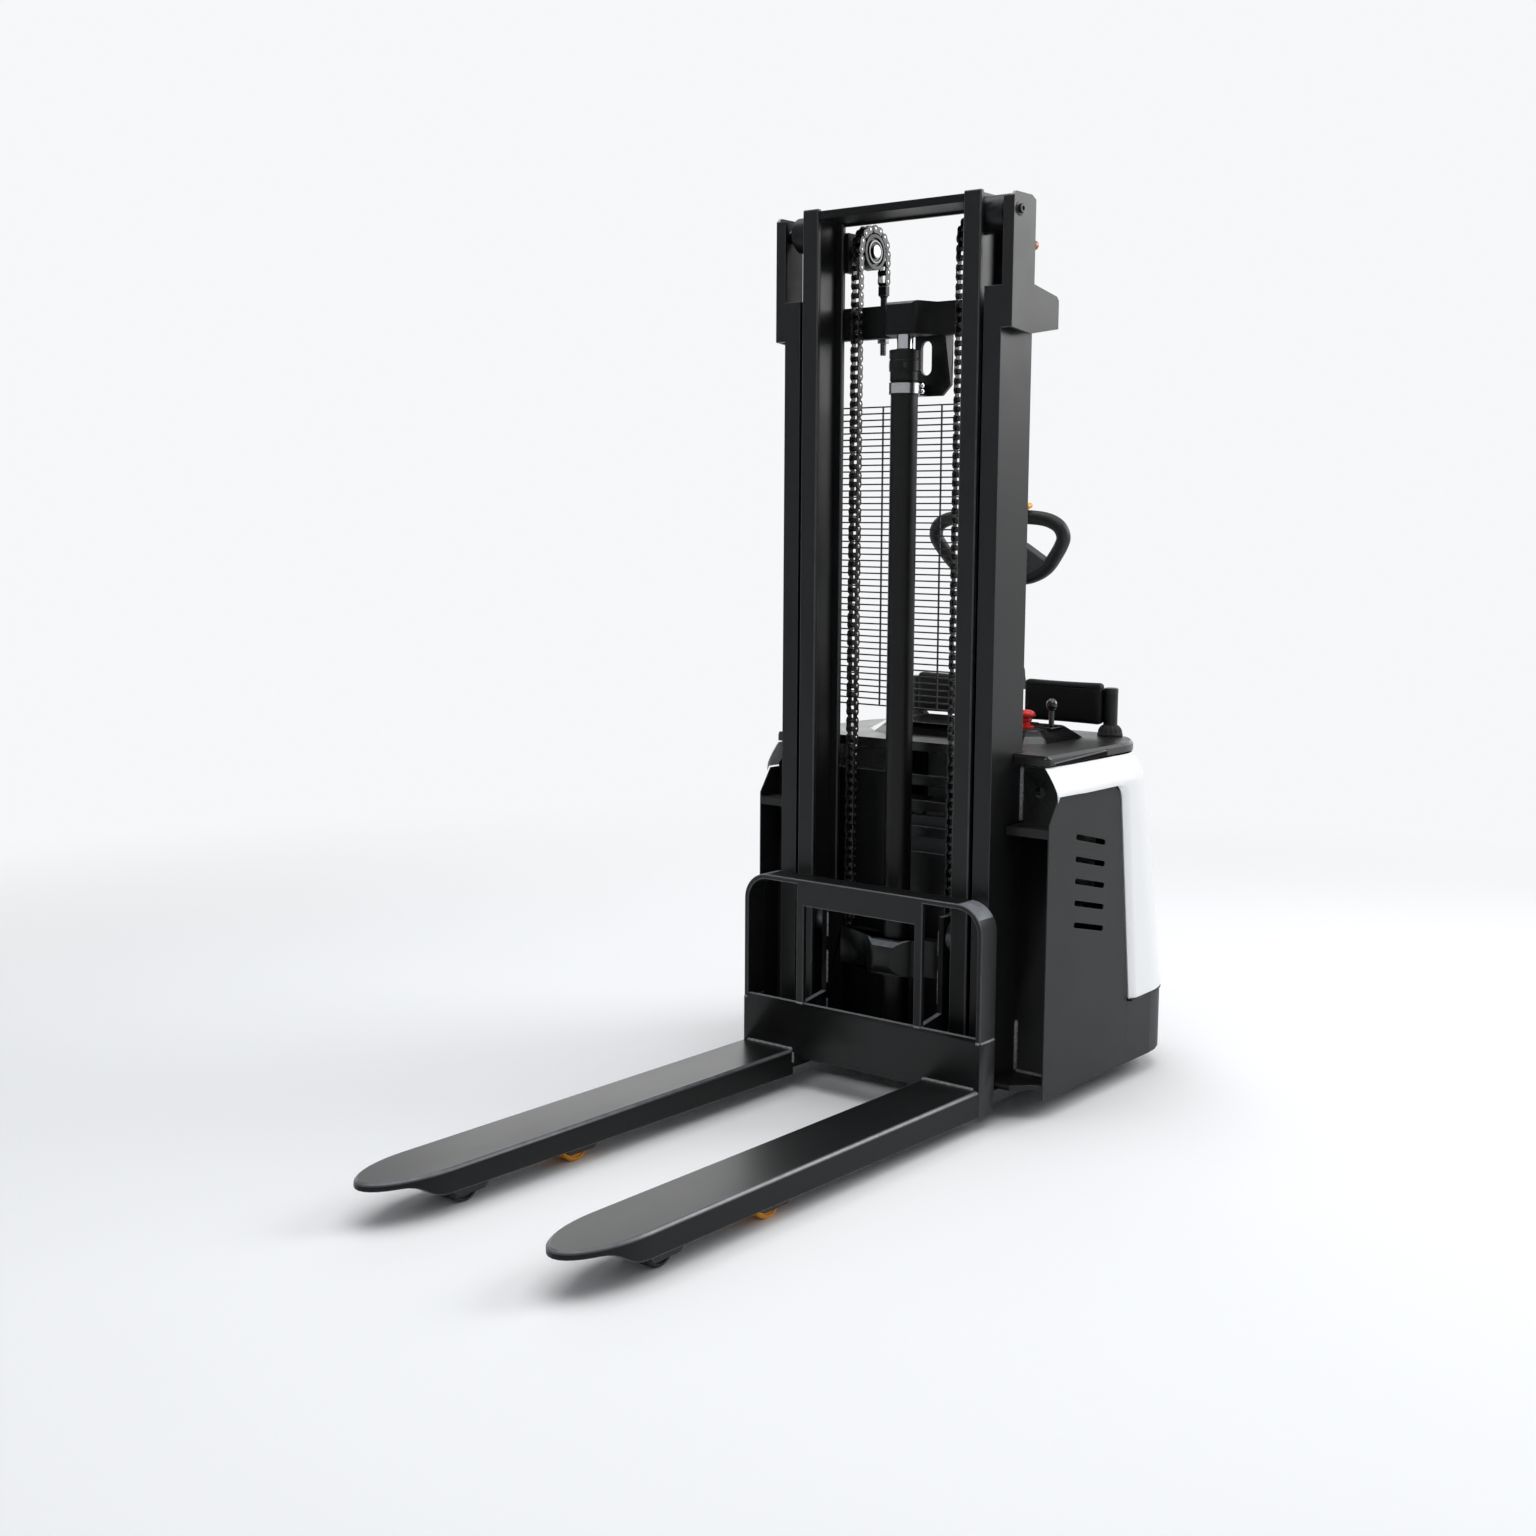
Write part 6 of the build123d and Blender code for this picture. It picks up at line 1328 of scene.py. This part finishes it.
class STACKER_OT_hood(bpy.types.Operator):
    """Form the white hood with its lip round the side panels"""

    bl_idname = "stacker.hood"
    bl_label = "Hood"

    def execute(self, context):
        lip = detail_mm("hood_lip")
        wall, reach, thinned = 6.0, 8, 0.25
        bm = bmesh.new()
        heights = [196, 320, 445, 570, HOOD_SHOULDER, 691, 699, 708, 717, 726, 734, 741]
        rows = [[bm.verts.new(spot) for spot in hood_loop(height)] for height in heights]
        for low, high in zip(rows, rows[1:]):
            skin(bm, low, high)
        # Ahead of the corners the sides run straight, then draw in a little to the front edge.
        ends = ((HOOD_FRONT, HOOD_DRAW_IN), (HOOD_BEND, 0))
        tops = []
        for height, row in zip(heights, rows):
            if height >= HOOD_SHOULDER:
                half = hood_section(height)[0]
                right = [bm.verts.new((half - inward, y, height)) for y, inward in ends]
                left = [bm.verts.new((inward - half, y, height)) for y, inward in reversed(ends)]
                tops.append((right + [row[0]], [row[-1]] + left))
        for low, high in zip(tops, tops[1:]):
            for lower, upper in zip(low, high):
                skin(bm, lower, upper)
        for sign, end in ((1, 0), (-1, -1)):
            edge, bend = tops[0][0][:2] if sign > 0 else reversed(tops[0][1][1:])
            rear = [row[end] for row in rows if row[end].co.z <= HOOD_SHOULDER]
            self.flank(bm, sign, edge, bend, rear)
        bmesh.ops.recalc_face_normals(bm, faces=bm.faces)
        rearmost = max(bm.faces, key=lambda face: face.calc_center_median().y)
        if rearmost.normal.y < 0:
            bmesh.ops.reverse_faces(bm, faces=bm.faces)
        outside = set(bm.verts)
        rims = [edge for edge in bm.edges if edge.is_boundary and max(v.co.z for v in edge.verts) < HOOD_SHOULDER - 1]
        bmesh.ops.solidify(bm, geom=list(bm.faces), thickness=wall)
        # The wall thins out to the front edge.
        front = [v for v in outside if v.co.y < HOOD_FRONT + 1]
        for v in fresh(bm, outside):
            near = min(front, key=lambda other: (other.co - v.co).length)
            if (near.co - v.co).length < reach:
                v.co = near.co.lerp(v.co, thinned)
        round_off(bm, [edge for edge in rims if edge.is_valid and edge.is_manifold], lip, 2)
        settle(bm, "hood_shell", "chassis", hood_paint(), ("hood",), crease=math.radians(50))
        return {"FINISHED"}

    def flank(self, bm, sign, edge, bend, rear):
        """Flat side that stops at the side panel, and rises softly from the panel's round rear corner."""
        swell = detail_mm("hood_swell")
        rim_x, rise, steps = 382.2, 7.8, 5
        top, radius = PANEL_TOP + HOOD_GAP, PANEL_ROUND + HOOD_GAP
        corners = ((383, HOOD_FRONT, 671), (383.4, PANEL_SHOULDER, top))
        near = [bm.verts.new((sign * x, y, z)) for x, y, z in corners]
        rim = [Vector(spot) for spot in [(HOOD_BEND, top)] + panel_corner(HOOD_GAP)[1:]]
        centre = Vector((rim[1].x, rim[1].y - radius))
        crest = [Vector((HOOD_BEND, HOOD_CREST))]
        for spot in rim[1:-1]:
            away = (spot - centre).normalized()
            room = (HOOD_CREST - centre.y) / max(away.y, 0.05) - radius
            crest.append(spot + away * min(swell, room))
        crest.append(rim[-1] + Vector((swell, 0)))
        loops = []
        for step in range(steps + 1):
            x = sign * (rim_x + rise * math.sin(math.pi / 2 * step / steps))
            spots = [low.lerp(high, step / steps) for low, high in zip(rim, crest)]
            loops.append([bm.verts.new((x, spot.x, spot.y)) for spot in spots])
        for low, high in zip(loops, loops[1:]):
            skin(bm, low, high)
        bm.faces.new([edge] + near + [loop[0] for loop in loops] + [bend])
        bm.faces.new([bend] + loops[-1] + rear)


class STACKER_OT_cover(bpy.types.Operator):
    """Mould the top cover, its console and their seams"""

    bl_idname = "stacker.cover"
    bl_label = "Top cover"

    def execute(self, context):
        cover = painted("top_cover", "top_cover_moulding", "chassis", 2.6, 3, cover_plastic, "cover_black", sharp=18,
                        broad=[(COVER_HIGH.x, COVER_LOW.y, 14)])
        steep, level = 0.3, 0.97
        second_finish(cover, gloss_plastic(), lambda normal: steep < normal.z < level)
        gap_shadows, lip_highlights = bmesh.new(), bmesh.new()
        side, front, rear, foot = COVER_HIGH.x, 196, 412, 745.4
        for sign in (-1, 1):
            start, end = span(sign, side - 1, side + 0.5)
            # Near-black strips along the lower side edge stand in for the shadow in the gap under the cover's lip:
            # painted shadow. The short strip at the rear end is the dark seam.
            plate(gap_shadows, [(front, foot), (rear, foot), (rear, 755), (front, 748)], start, end, "X")
            plate(gap_shadows, [(rear, foot), (rear + 2.4, foot), (rear + 2.4, 760), (rear, 760)], start, end, "X")
            # A thin rod in the lighter black along the lip's edge: painted highlight.
            tube(lip_highlights, [(sign * (side + 0.2), 186, 749.4), (sign * (side + 0.2), 411, 756.8)], 1.7, sides=10)
        settle(gap_shadows, "cover_gap", "chassis", painted_gap_shadow())
        settle(lip_highlights, "cover_lip", "chassis", lip_highlight_plastic(), crease=1.2)
        face = bmesh.new()
        left, right, near, far, sunk, top = -180, 118, 352, 532, 788.5, 790.8
        slab(face, (left, near, sunk), (right, far, top), 1.0, 3)
        settle(face, "console_face", "chassis", gloss_plastic())
        return {"FINISHED"}


# Rider guards, tiller and controls


def pad_form(low, high):
    """Moulded pad: rounded block with a crowned front, drawn-in edges and a seam under its top edge."""
    bm = bmesh.new()
    low, high = Vector(low), Vector(high)
    middle, half = (low + high) / 2, (high - low) / 2
    bmesh.ops.create_cube(bm, size=2)
    bmesh.ops.subdivide_edges(bm, edges=list(bm.edges), cuts=22, use_grid_fill=True)
    radius, crown, inset = 9.0, 2.5, 1.2
    for v in bm.verts:
        share = v.co.copy()
        spot = Vector([share[i] * half[i] for i in range(3)])
        core = Vector([max(-half[i] + radius, min(half[i] - radius, spot[i])) for i in range(3)])
        away = spot - core
        if away.length > 0:
            spot = core + away.normalized() * radius
        bulge = (1 - share.x ** 4) * (1 - share.z ** 4)
        if share.y < 0.5:
            spot.y += -crown * bulge * (0.5 - share.y) / 1.5 + inset
        spot.z -= inset * share.z * (1 - share.x ** 2)
        v.co = middle + spot
    seam, seam_half, front_groove, groove = high.z - 13, 1.6, 1.3, 0.8
    for height in (seam - seam_half, seam, seam + seam_half):
        bmesh.ops.bisect_plane(bm, geom=list(bm.verts) + list(bm.edges) + list(bm.faces), dist=1e-4,
                               plane_co=(0, 0, height), plane_no=(0, 0, 1))
    for v in bm.verts:
        if abs(v.co.z - seam) < 0.2:
            v.co.y += front_groove if v.co.y < middle.y else -groove
            v.co.x += groove if v.co.x < middle.x else -groove
    return bm


class STACKER_OT_guards(bpy.types.Operator):
    """Make the folding side guards: posts, ribbed boots and padded boards"""

    bl_idname = "stacker.guards"
    bl_label = "Side guards"

    def execute(self, context):
        ribs = context.scene.stacker_detail.boot_ribs
        rib_low, rib_high, bore, groove = 773, 788.5, 15, 0.055
        boots = bmesh.new()
        for side, sign in SIDES:
            post = hinge_of(f"guard_{side}_swing")
            place = shift(post.x, post.y, 0)
            painted(f"guard_arm_{side}", f"guard_post_{side}", f"guard_{side}", 1.2)
            caps = bmesh.new()
            turned(caps, [(0, 873.6), (12.5, 873.6), (15.4, 872.6), (16.4, 870), (16.4, 862), (15.9, 861), (0, 861)],
                   place, steps=36)
            settle(caps, f"guard_post_{side}_cap", f"guard_{side}", cover_plastic())
            low, high = node_box(f"guard_pad_{side}")
            backing = bmesh.new()
            ends = sorted((sign * 60, post.x))
            slab(backing, (ends[0], high.y - 2.5, low.z + 5), (ends[1], high.y + 1.5, high.z - 14), 1.2, 2)
            settle(backing, f"guard_backing_{side}", f"guard_{side}", black_paint())
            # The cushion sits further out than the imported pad, and is a little shorter.
            inner, outer = 12, 5
            low.x, high.x = (low.x + inner, high.x + outer) if sign > 0 else (low.x - outer, high.x - inner)
            pad = settle(pad_form(low, high), f"guard_pad_{side}_cushion", f"guard_{side}", pad_skin(),
                         (f"guard_pad_{side}",), crease=math.radians(60))
            verts = turned(boots, [(12.2, 765.2), (27.5, 765.2), (28.6, 766.5), (28.6, 770), (27, 772), (27.2, 775),
                                   (25.2, 781), (21.6, 786), (17.6, 789.2), (16.2, 789.8), (12.2, 789.8)],
                           place, steps=ribs * 6, hollow=True)
            for v in verts:
                if rib_low < v.co.z < rib_high:
                    away = Vector((v.co.x - post.x, v.co.y - post.y, 0))
                    wave = math.cos(ribs * math.atan2(away.y, away.x))
                    if away.length > bore and wave < -0.4:
                        v.co -= away * groove
        settle(boots, "guard_post_boots", "chassis", boot_rubber(), ("guard_arm_boots",))
        return {"FINISHED"}


class STACKER_OT_tiller(bpy.types.Operator):
    """Bend the tiller loop and set its grey wing, arm and column"""

    bl_idname = "stacker.tiller"
    bl_label = "Tiller"

    def execute(self, context):
        line = [(0, 229.5), (60, 232.9), (86.2, 239.1), (109.2, 249.6), (127.6, 263.8), (145.1, 284.9),
                (161.5, 308), (169.8, 327.5), (164.2, 347.9), (147.7, 361.4), (121.3, 369.7), (76.6, 373.6), (0, 375)]
        line += [(-x, along) for x, along in reversed(line[1:-1])]
        grip_radius, depth = 16.0, 13
        bm = bmesh.new()
        tube(bm, flowing([(x, 0, along) for x, along in line], 6), grip_radius, sides=24, closed=True)
        on_arm(bm)
        settle(bm, "tiller_loop", "tiller", grip_rubber(), ("tiller_head",), crease=1.0)
        wing = bmesh.new()
        half = [(84, 234), (112, 246), (128, 266), (125, 274), (70, 312)]
        plate(wing, half + [(-x, along) for x, along in reversed(half)], -depth, depth, "Y", 3.0, 3)
        slab(wing, (-20, -depth, 213), (20, depth, 236), 3.0, 3)
        plate(wing, bent_outline([(-58, 252), (58, 252), (46, 302), (-46, 302)], 12), -14.0, -12.5, "Y", 0.6, 2)
        on_arm(wing)
        settle(wing, "tiller_wing_panel", "tiller", wing_plastic())
        seams = bmesh.new()
        turns = [math.radians(12 + 12 * number) for number in range(14)]
        for reach in (72, 92):
            arc = [(reach * math.cos(turn), -13.05, 226 + reach * 0.92 * math.sin(turn)) for turn in turns]
            tube(seams, [spot for spot in arc if spot[2] < 300 - abs(spot[0]) * 0.2], 0.45, sides=6)
        on_arm(seams)
        settle(seams, "tiller_wing_seams", "tiller", ring_steel())
        seats = bmesh.new()
        for along in (288, 255):
            for sign in (-1, 1):
                near, far = span(sign, 22, 27)
                slab(seats, (near, 12, along - 6), (far, 27, along + 6), 1.5, 3)
            turned(seats, [(0, -23), (3, -23), (3, 23), (0, 23)], shift(0, 21, along) @ ALONG_X, steps=16)
        on_arm(seats)
        settle(seats, "tiller_control_seats", "tiller", cover_plastic())
        painted("tiller_arm", "tiller_arm_tube", "tiller", 1.2, 2)
        # The cheeks are drawn slimmer, so that they stay behind the mast as in the photograph.
        cheek_foot, slimness = TILT.z - 29, 0.5
        column = copied("steering_column", 1.2, 2)
        cheeks = [v for v in column.verts if v.co.z > cheek_foot]
        bmesh.ops.scale(column, vec=(1, slimness, 1), space=shift(0, -TILT.y, 0), verts=cheeks)
        settle(column, "steering_column_yoke", "steer_unit", black_paint(), ("steering_column",))
        return {"FINISHED"}


class STACKER_OT_controls(bpy.types.Operator):
    """Mould the buttons, rockers, the stop and the ball lever"""

    bl_idname = "stacker.controls"
    bl_label = "Controls"

    def execute(self, context):
        belly = bmesh.new()
        slab(belly, (-93.5, -12, 392.5), (93.5, 12, 404.5), 5.6, 5)
        slab(belly, (-83, -6.8, 379.8), (83, 6.8, 396), 0.5, 2)
        on_arm(belly)
        settle(belly, "belly_button_cap", "belly_button", belly_yellow(), ("belly_button",))
        for node, finish, slot, soft in (
            ("throttle_wings", cover_plastic, "grip_black", 2.2),
            ("lift_rocker", wing_plastic, "control_grey", 2.0),
            ("horn_button", wing_plastic, "control_grey", 1.6),
        ):
            painted(node, f"{node}_key", node, soft, 3, finish, slot)
        low, high = node_box("emergency_stop")
        centre = (low + high) / 2
        bm = bmesh.new()
        turned(bm, [(0, 778.2), (8.8, 778.2), (8.8, 801.5), (9.4, 802.3), (11.5, 803.2), (12.2, 804.6), (12.2, 808),
                    (10.8, 810.5), (12, 812.6), (17.5, 813.4), (19.7, 815.6), (20, 819), (18.6, 822.8), (14.5, 826.2),
                    (8, 828.3), (0, 829)], shift(centre.x, centre.y, 0), steps=48)
        settle(bm, "emergency_stop_mushroom", "emergency_stop", stop_red(), ("emergency_stop",),
               crease=math.radians(50))
        collar = bmesh.new()
        turned(collar, [(9.6, 789.6), (17.5, 789.6), (17.5, 792), (15.5, 793.4), (9.6, 793.4)],
               shift(centre.x, centre.y, 0), steps=40, hollow=True)
        settle(collar, "emergency_stop_collar", "chassis", stop_red())
        pivot = hinge_of("lever_tip")
        lever = bmesh.new()
        radius, height, steps = 13.5, 841, 14
        turns = [math.pi * (0.12 + 0.88 * number / steps) for number in range(steps + 1)]
        ball = [(radius * math.sin(turn), height - radius * math.cos(turn)) for turn in turns]
        turned(lever, [(0, 776.2), (4.4, 776.2), (4.4, 790), (6.2, 794), (6.2, 828)] + ball,
               shift(pivot.x, pivot.y, 0), steps=32)
        settle(lever, "ball_lever_knob", "control_lever", ball_plastic(), ("control_lever",),
               crease=math.radians(50))
        base = bmesh.new()
        foot, top = 789.4, 793
        for sign in (-1, 1):
            near, far = span(sign, 8, 16)
            slab(base, (pivot.x + near, pivot.y - 27, foot), (pivot.x + far, pivot.y + 27, top), 1.2, 3)
            near, far = span(sign, 24, 29)
            slab(base, (pivot.x - 16, pivot.y + near, foot), (pivot.x + 16, pivot.y + far, top), 1.2, 3)
        settle(base, "ball_lever_gate", "chassis", gloss_plastic())
        return {"FINISHED"}


# Running gear, platform and power units


class STACKER_OT_running_gear(bpy.types.Operator):
    """Turn the leg rollers, castors and drive wheel"""

    bl_idname = "stacker.running_gear"
    bl_label = "Running gear"

    def execute(self, context):
        for side in ("left", "right"):
            for name, finish, slot, bore, lip in (
                ("load_roller", orange_tyre, "roller_orange", 10.15, 4.0),
                ("tip_roller", black_nylon, "roller_black", 10.15, 4.0),
                ("castor_wheel", black_nylon, "roller_black", 8.15, 9.0),
            ):
                node = f"{name}_{side}"
                bm = bmesh.new()
                roller_form(bm, *node_box(node), bore, lip=lip)
                settle(bm, f"{node}_tyre", node, finish(), (node,))
            node = f"castor_fork_{side}"
            painted(node, f"{node}_pressing", node, 1.2, 2)
        bm = bmesh.new()
        roller_form(bm, *node_box("drive_wheel"), 20.15, steps=96, lip=6.0)
        settle(bm, "drive_wheel_tyre", "drive_wheel", drive_tread(), ("drive_wheel",))
        dress("drive_gearbox", cast_grey())
        dress("drive_motor", cast_grey())
        return {"FINISHED"}


class STACKER_OT_platform(bpy.types.Operator):
    """Fold up the rider platform with its ribbed mat"""

    bl_idname = "stacker.platform"
    bl_label = "Rider platform"

    def execute(self, context):
        painted("platform", "platform_tray", "platform", 2.0)
        hinge, folded = hinge_of("platform_fold"), 100
        turn = shift(0, hinge.y, hinge.z) @ spun(folded, "X")
        mat = bmesh.new()
        slab(mat, (-222, 48, -12.2), (222, 392, -9.6), 1.0, 2, turn)
        ribs, reach = context.scene.stacker_detail.mat_ribs, 205
        for number in range(ribs):
            x = -reach + 2 * reach * number / (ribs - 1)
            slab(mat, (x - 5, 60, -14.6), (x + 5, 380, -11.8), 1.4, 2, turn)
        settle(mat, "platform_mat", "platform", boot_rubber())
        return {"FINISHED"}


class STACKER_OT_power(bpy.types.Operator):
    """Finish the battery, pump and controller inside the hood"""

    bl_idname = "stacker.power"
    bl_label = "Power units"

    def execute(self, context):
        dress("battery", battery_case())
        dress("pump_unit", cast_grey())
        dress("motor_controller", ring_steel())
        return {"FINISHED"}


class STACKER_PT_sidebar(bpy.types.Panel):
    """Lists the pieces and what can be changed on them"""

    bl_idname = "STACKER_PT_sidebar"
    bl_label = "Electric stacker"
    bl_space_type = "VIEW_3D"
    bl_region_type = "UI"
    bl_category = "Stacker"

    def draw(self, context):
        layout = self.layout
        for group in (context.scene.stacker_paint, context.scene.stacker_detail, context.scene.stacker_stage):
            box = layout.box()
            for name in group.__annotations__:
                box.prop(group, name)
        for operator in OPERATORS:
            layout.operator(operator.bl_idname)


OPERATORS = (
    STACKER_OT_stage, STACKER_OT_forks, STACKER_OT_carriage, STACKER_OT_mast, STACKER_OT_rollers,
    STACKER_OT_chains, STACKER_OT_cylinder, STACKER_OT_chassis, STACKER_OT_hood, STACKER_OT_cover,
    STACKER_OT_guards, STACKER_OT_tiller, STACKER_OT_controls, STACKER_OT_running_gear,
    STACKER_OT_platform, STACKER_OT_power,
)
CLASSES = (StackerPaint, StackerDetail, StackerStage, *OPERATORS, STACKER_PT_sidebar)


def register():
    for item in CLASSES:
        bpy.utils.register_class(item)
    bpy.types.Scene.stacker_paint = PointerProperty(type=StackerPaint)
    bpy.types.Scene.stacker_detail = PointerProperty(type=StackerDetail)
    bpy.types.Scene.stacker_stage = PointerProperty(type=StackerStage)


def unregister():
    del bpy.types.Scene.stacker_stage
    del bpy.types.Scene.stacker_detail
    del bpy.types.Scene.stacker_paint
    for item in reversed(CLASSES):
        bpy.utils.unregister_class(item)


def main():
    register()
    bpy.ops.stacker.stage()
    bpy.ops.stacker.forks()
    bpy.ops.stacker.carriage()
    bpy.ops.stacker.mast()
    bpy.ops.stacker.rollers()
    bpy.ops.stacker.chains()
    bpy.ops.stacker.cylinder()
    bpy.ops.stacker.chassis()
    bpy.ops.stacker.hood()
    bpy.ops.stacker.cover()
    bpy.ops.stacker.guards()
    bpy.ops.stacker.tiller()
    bpy.ops.stacker.controls()
    bpy.ops.stacker.running_gear()
    bpy.ops.stacker.platform()
    bpy.ops.stacker.power()


if __name__ == "__main__":
    main()
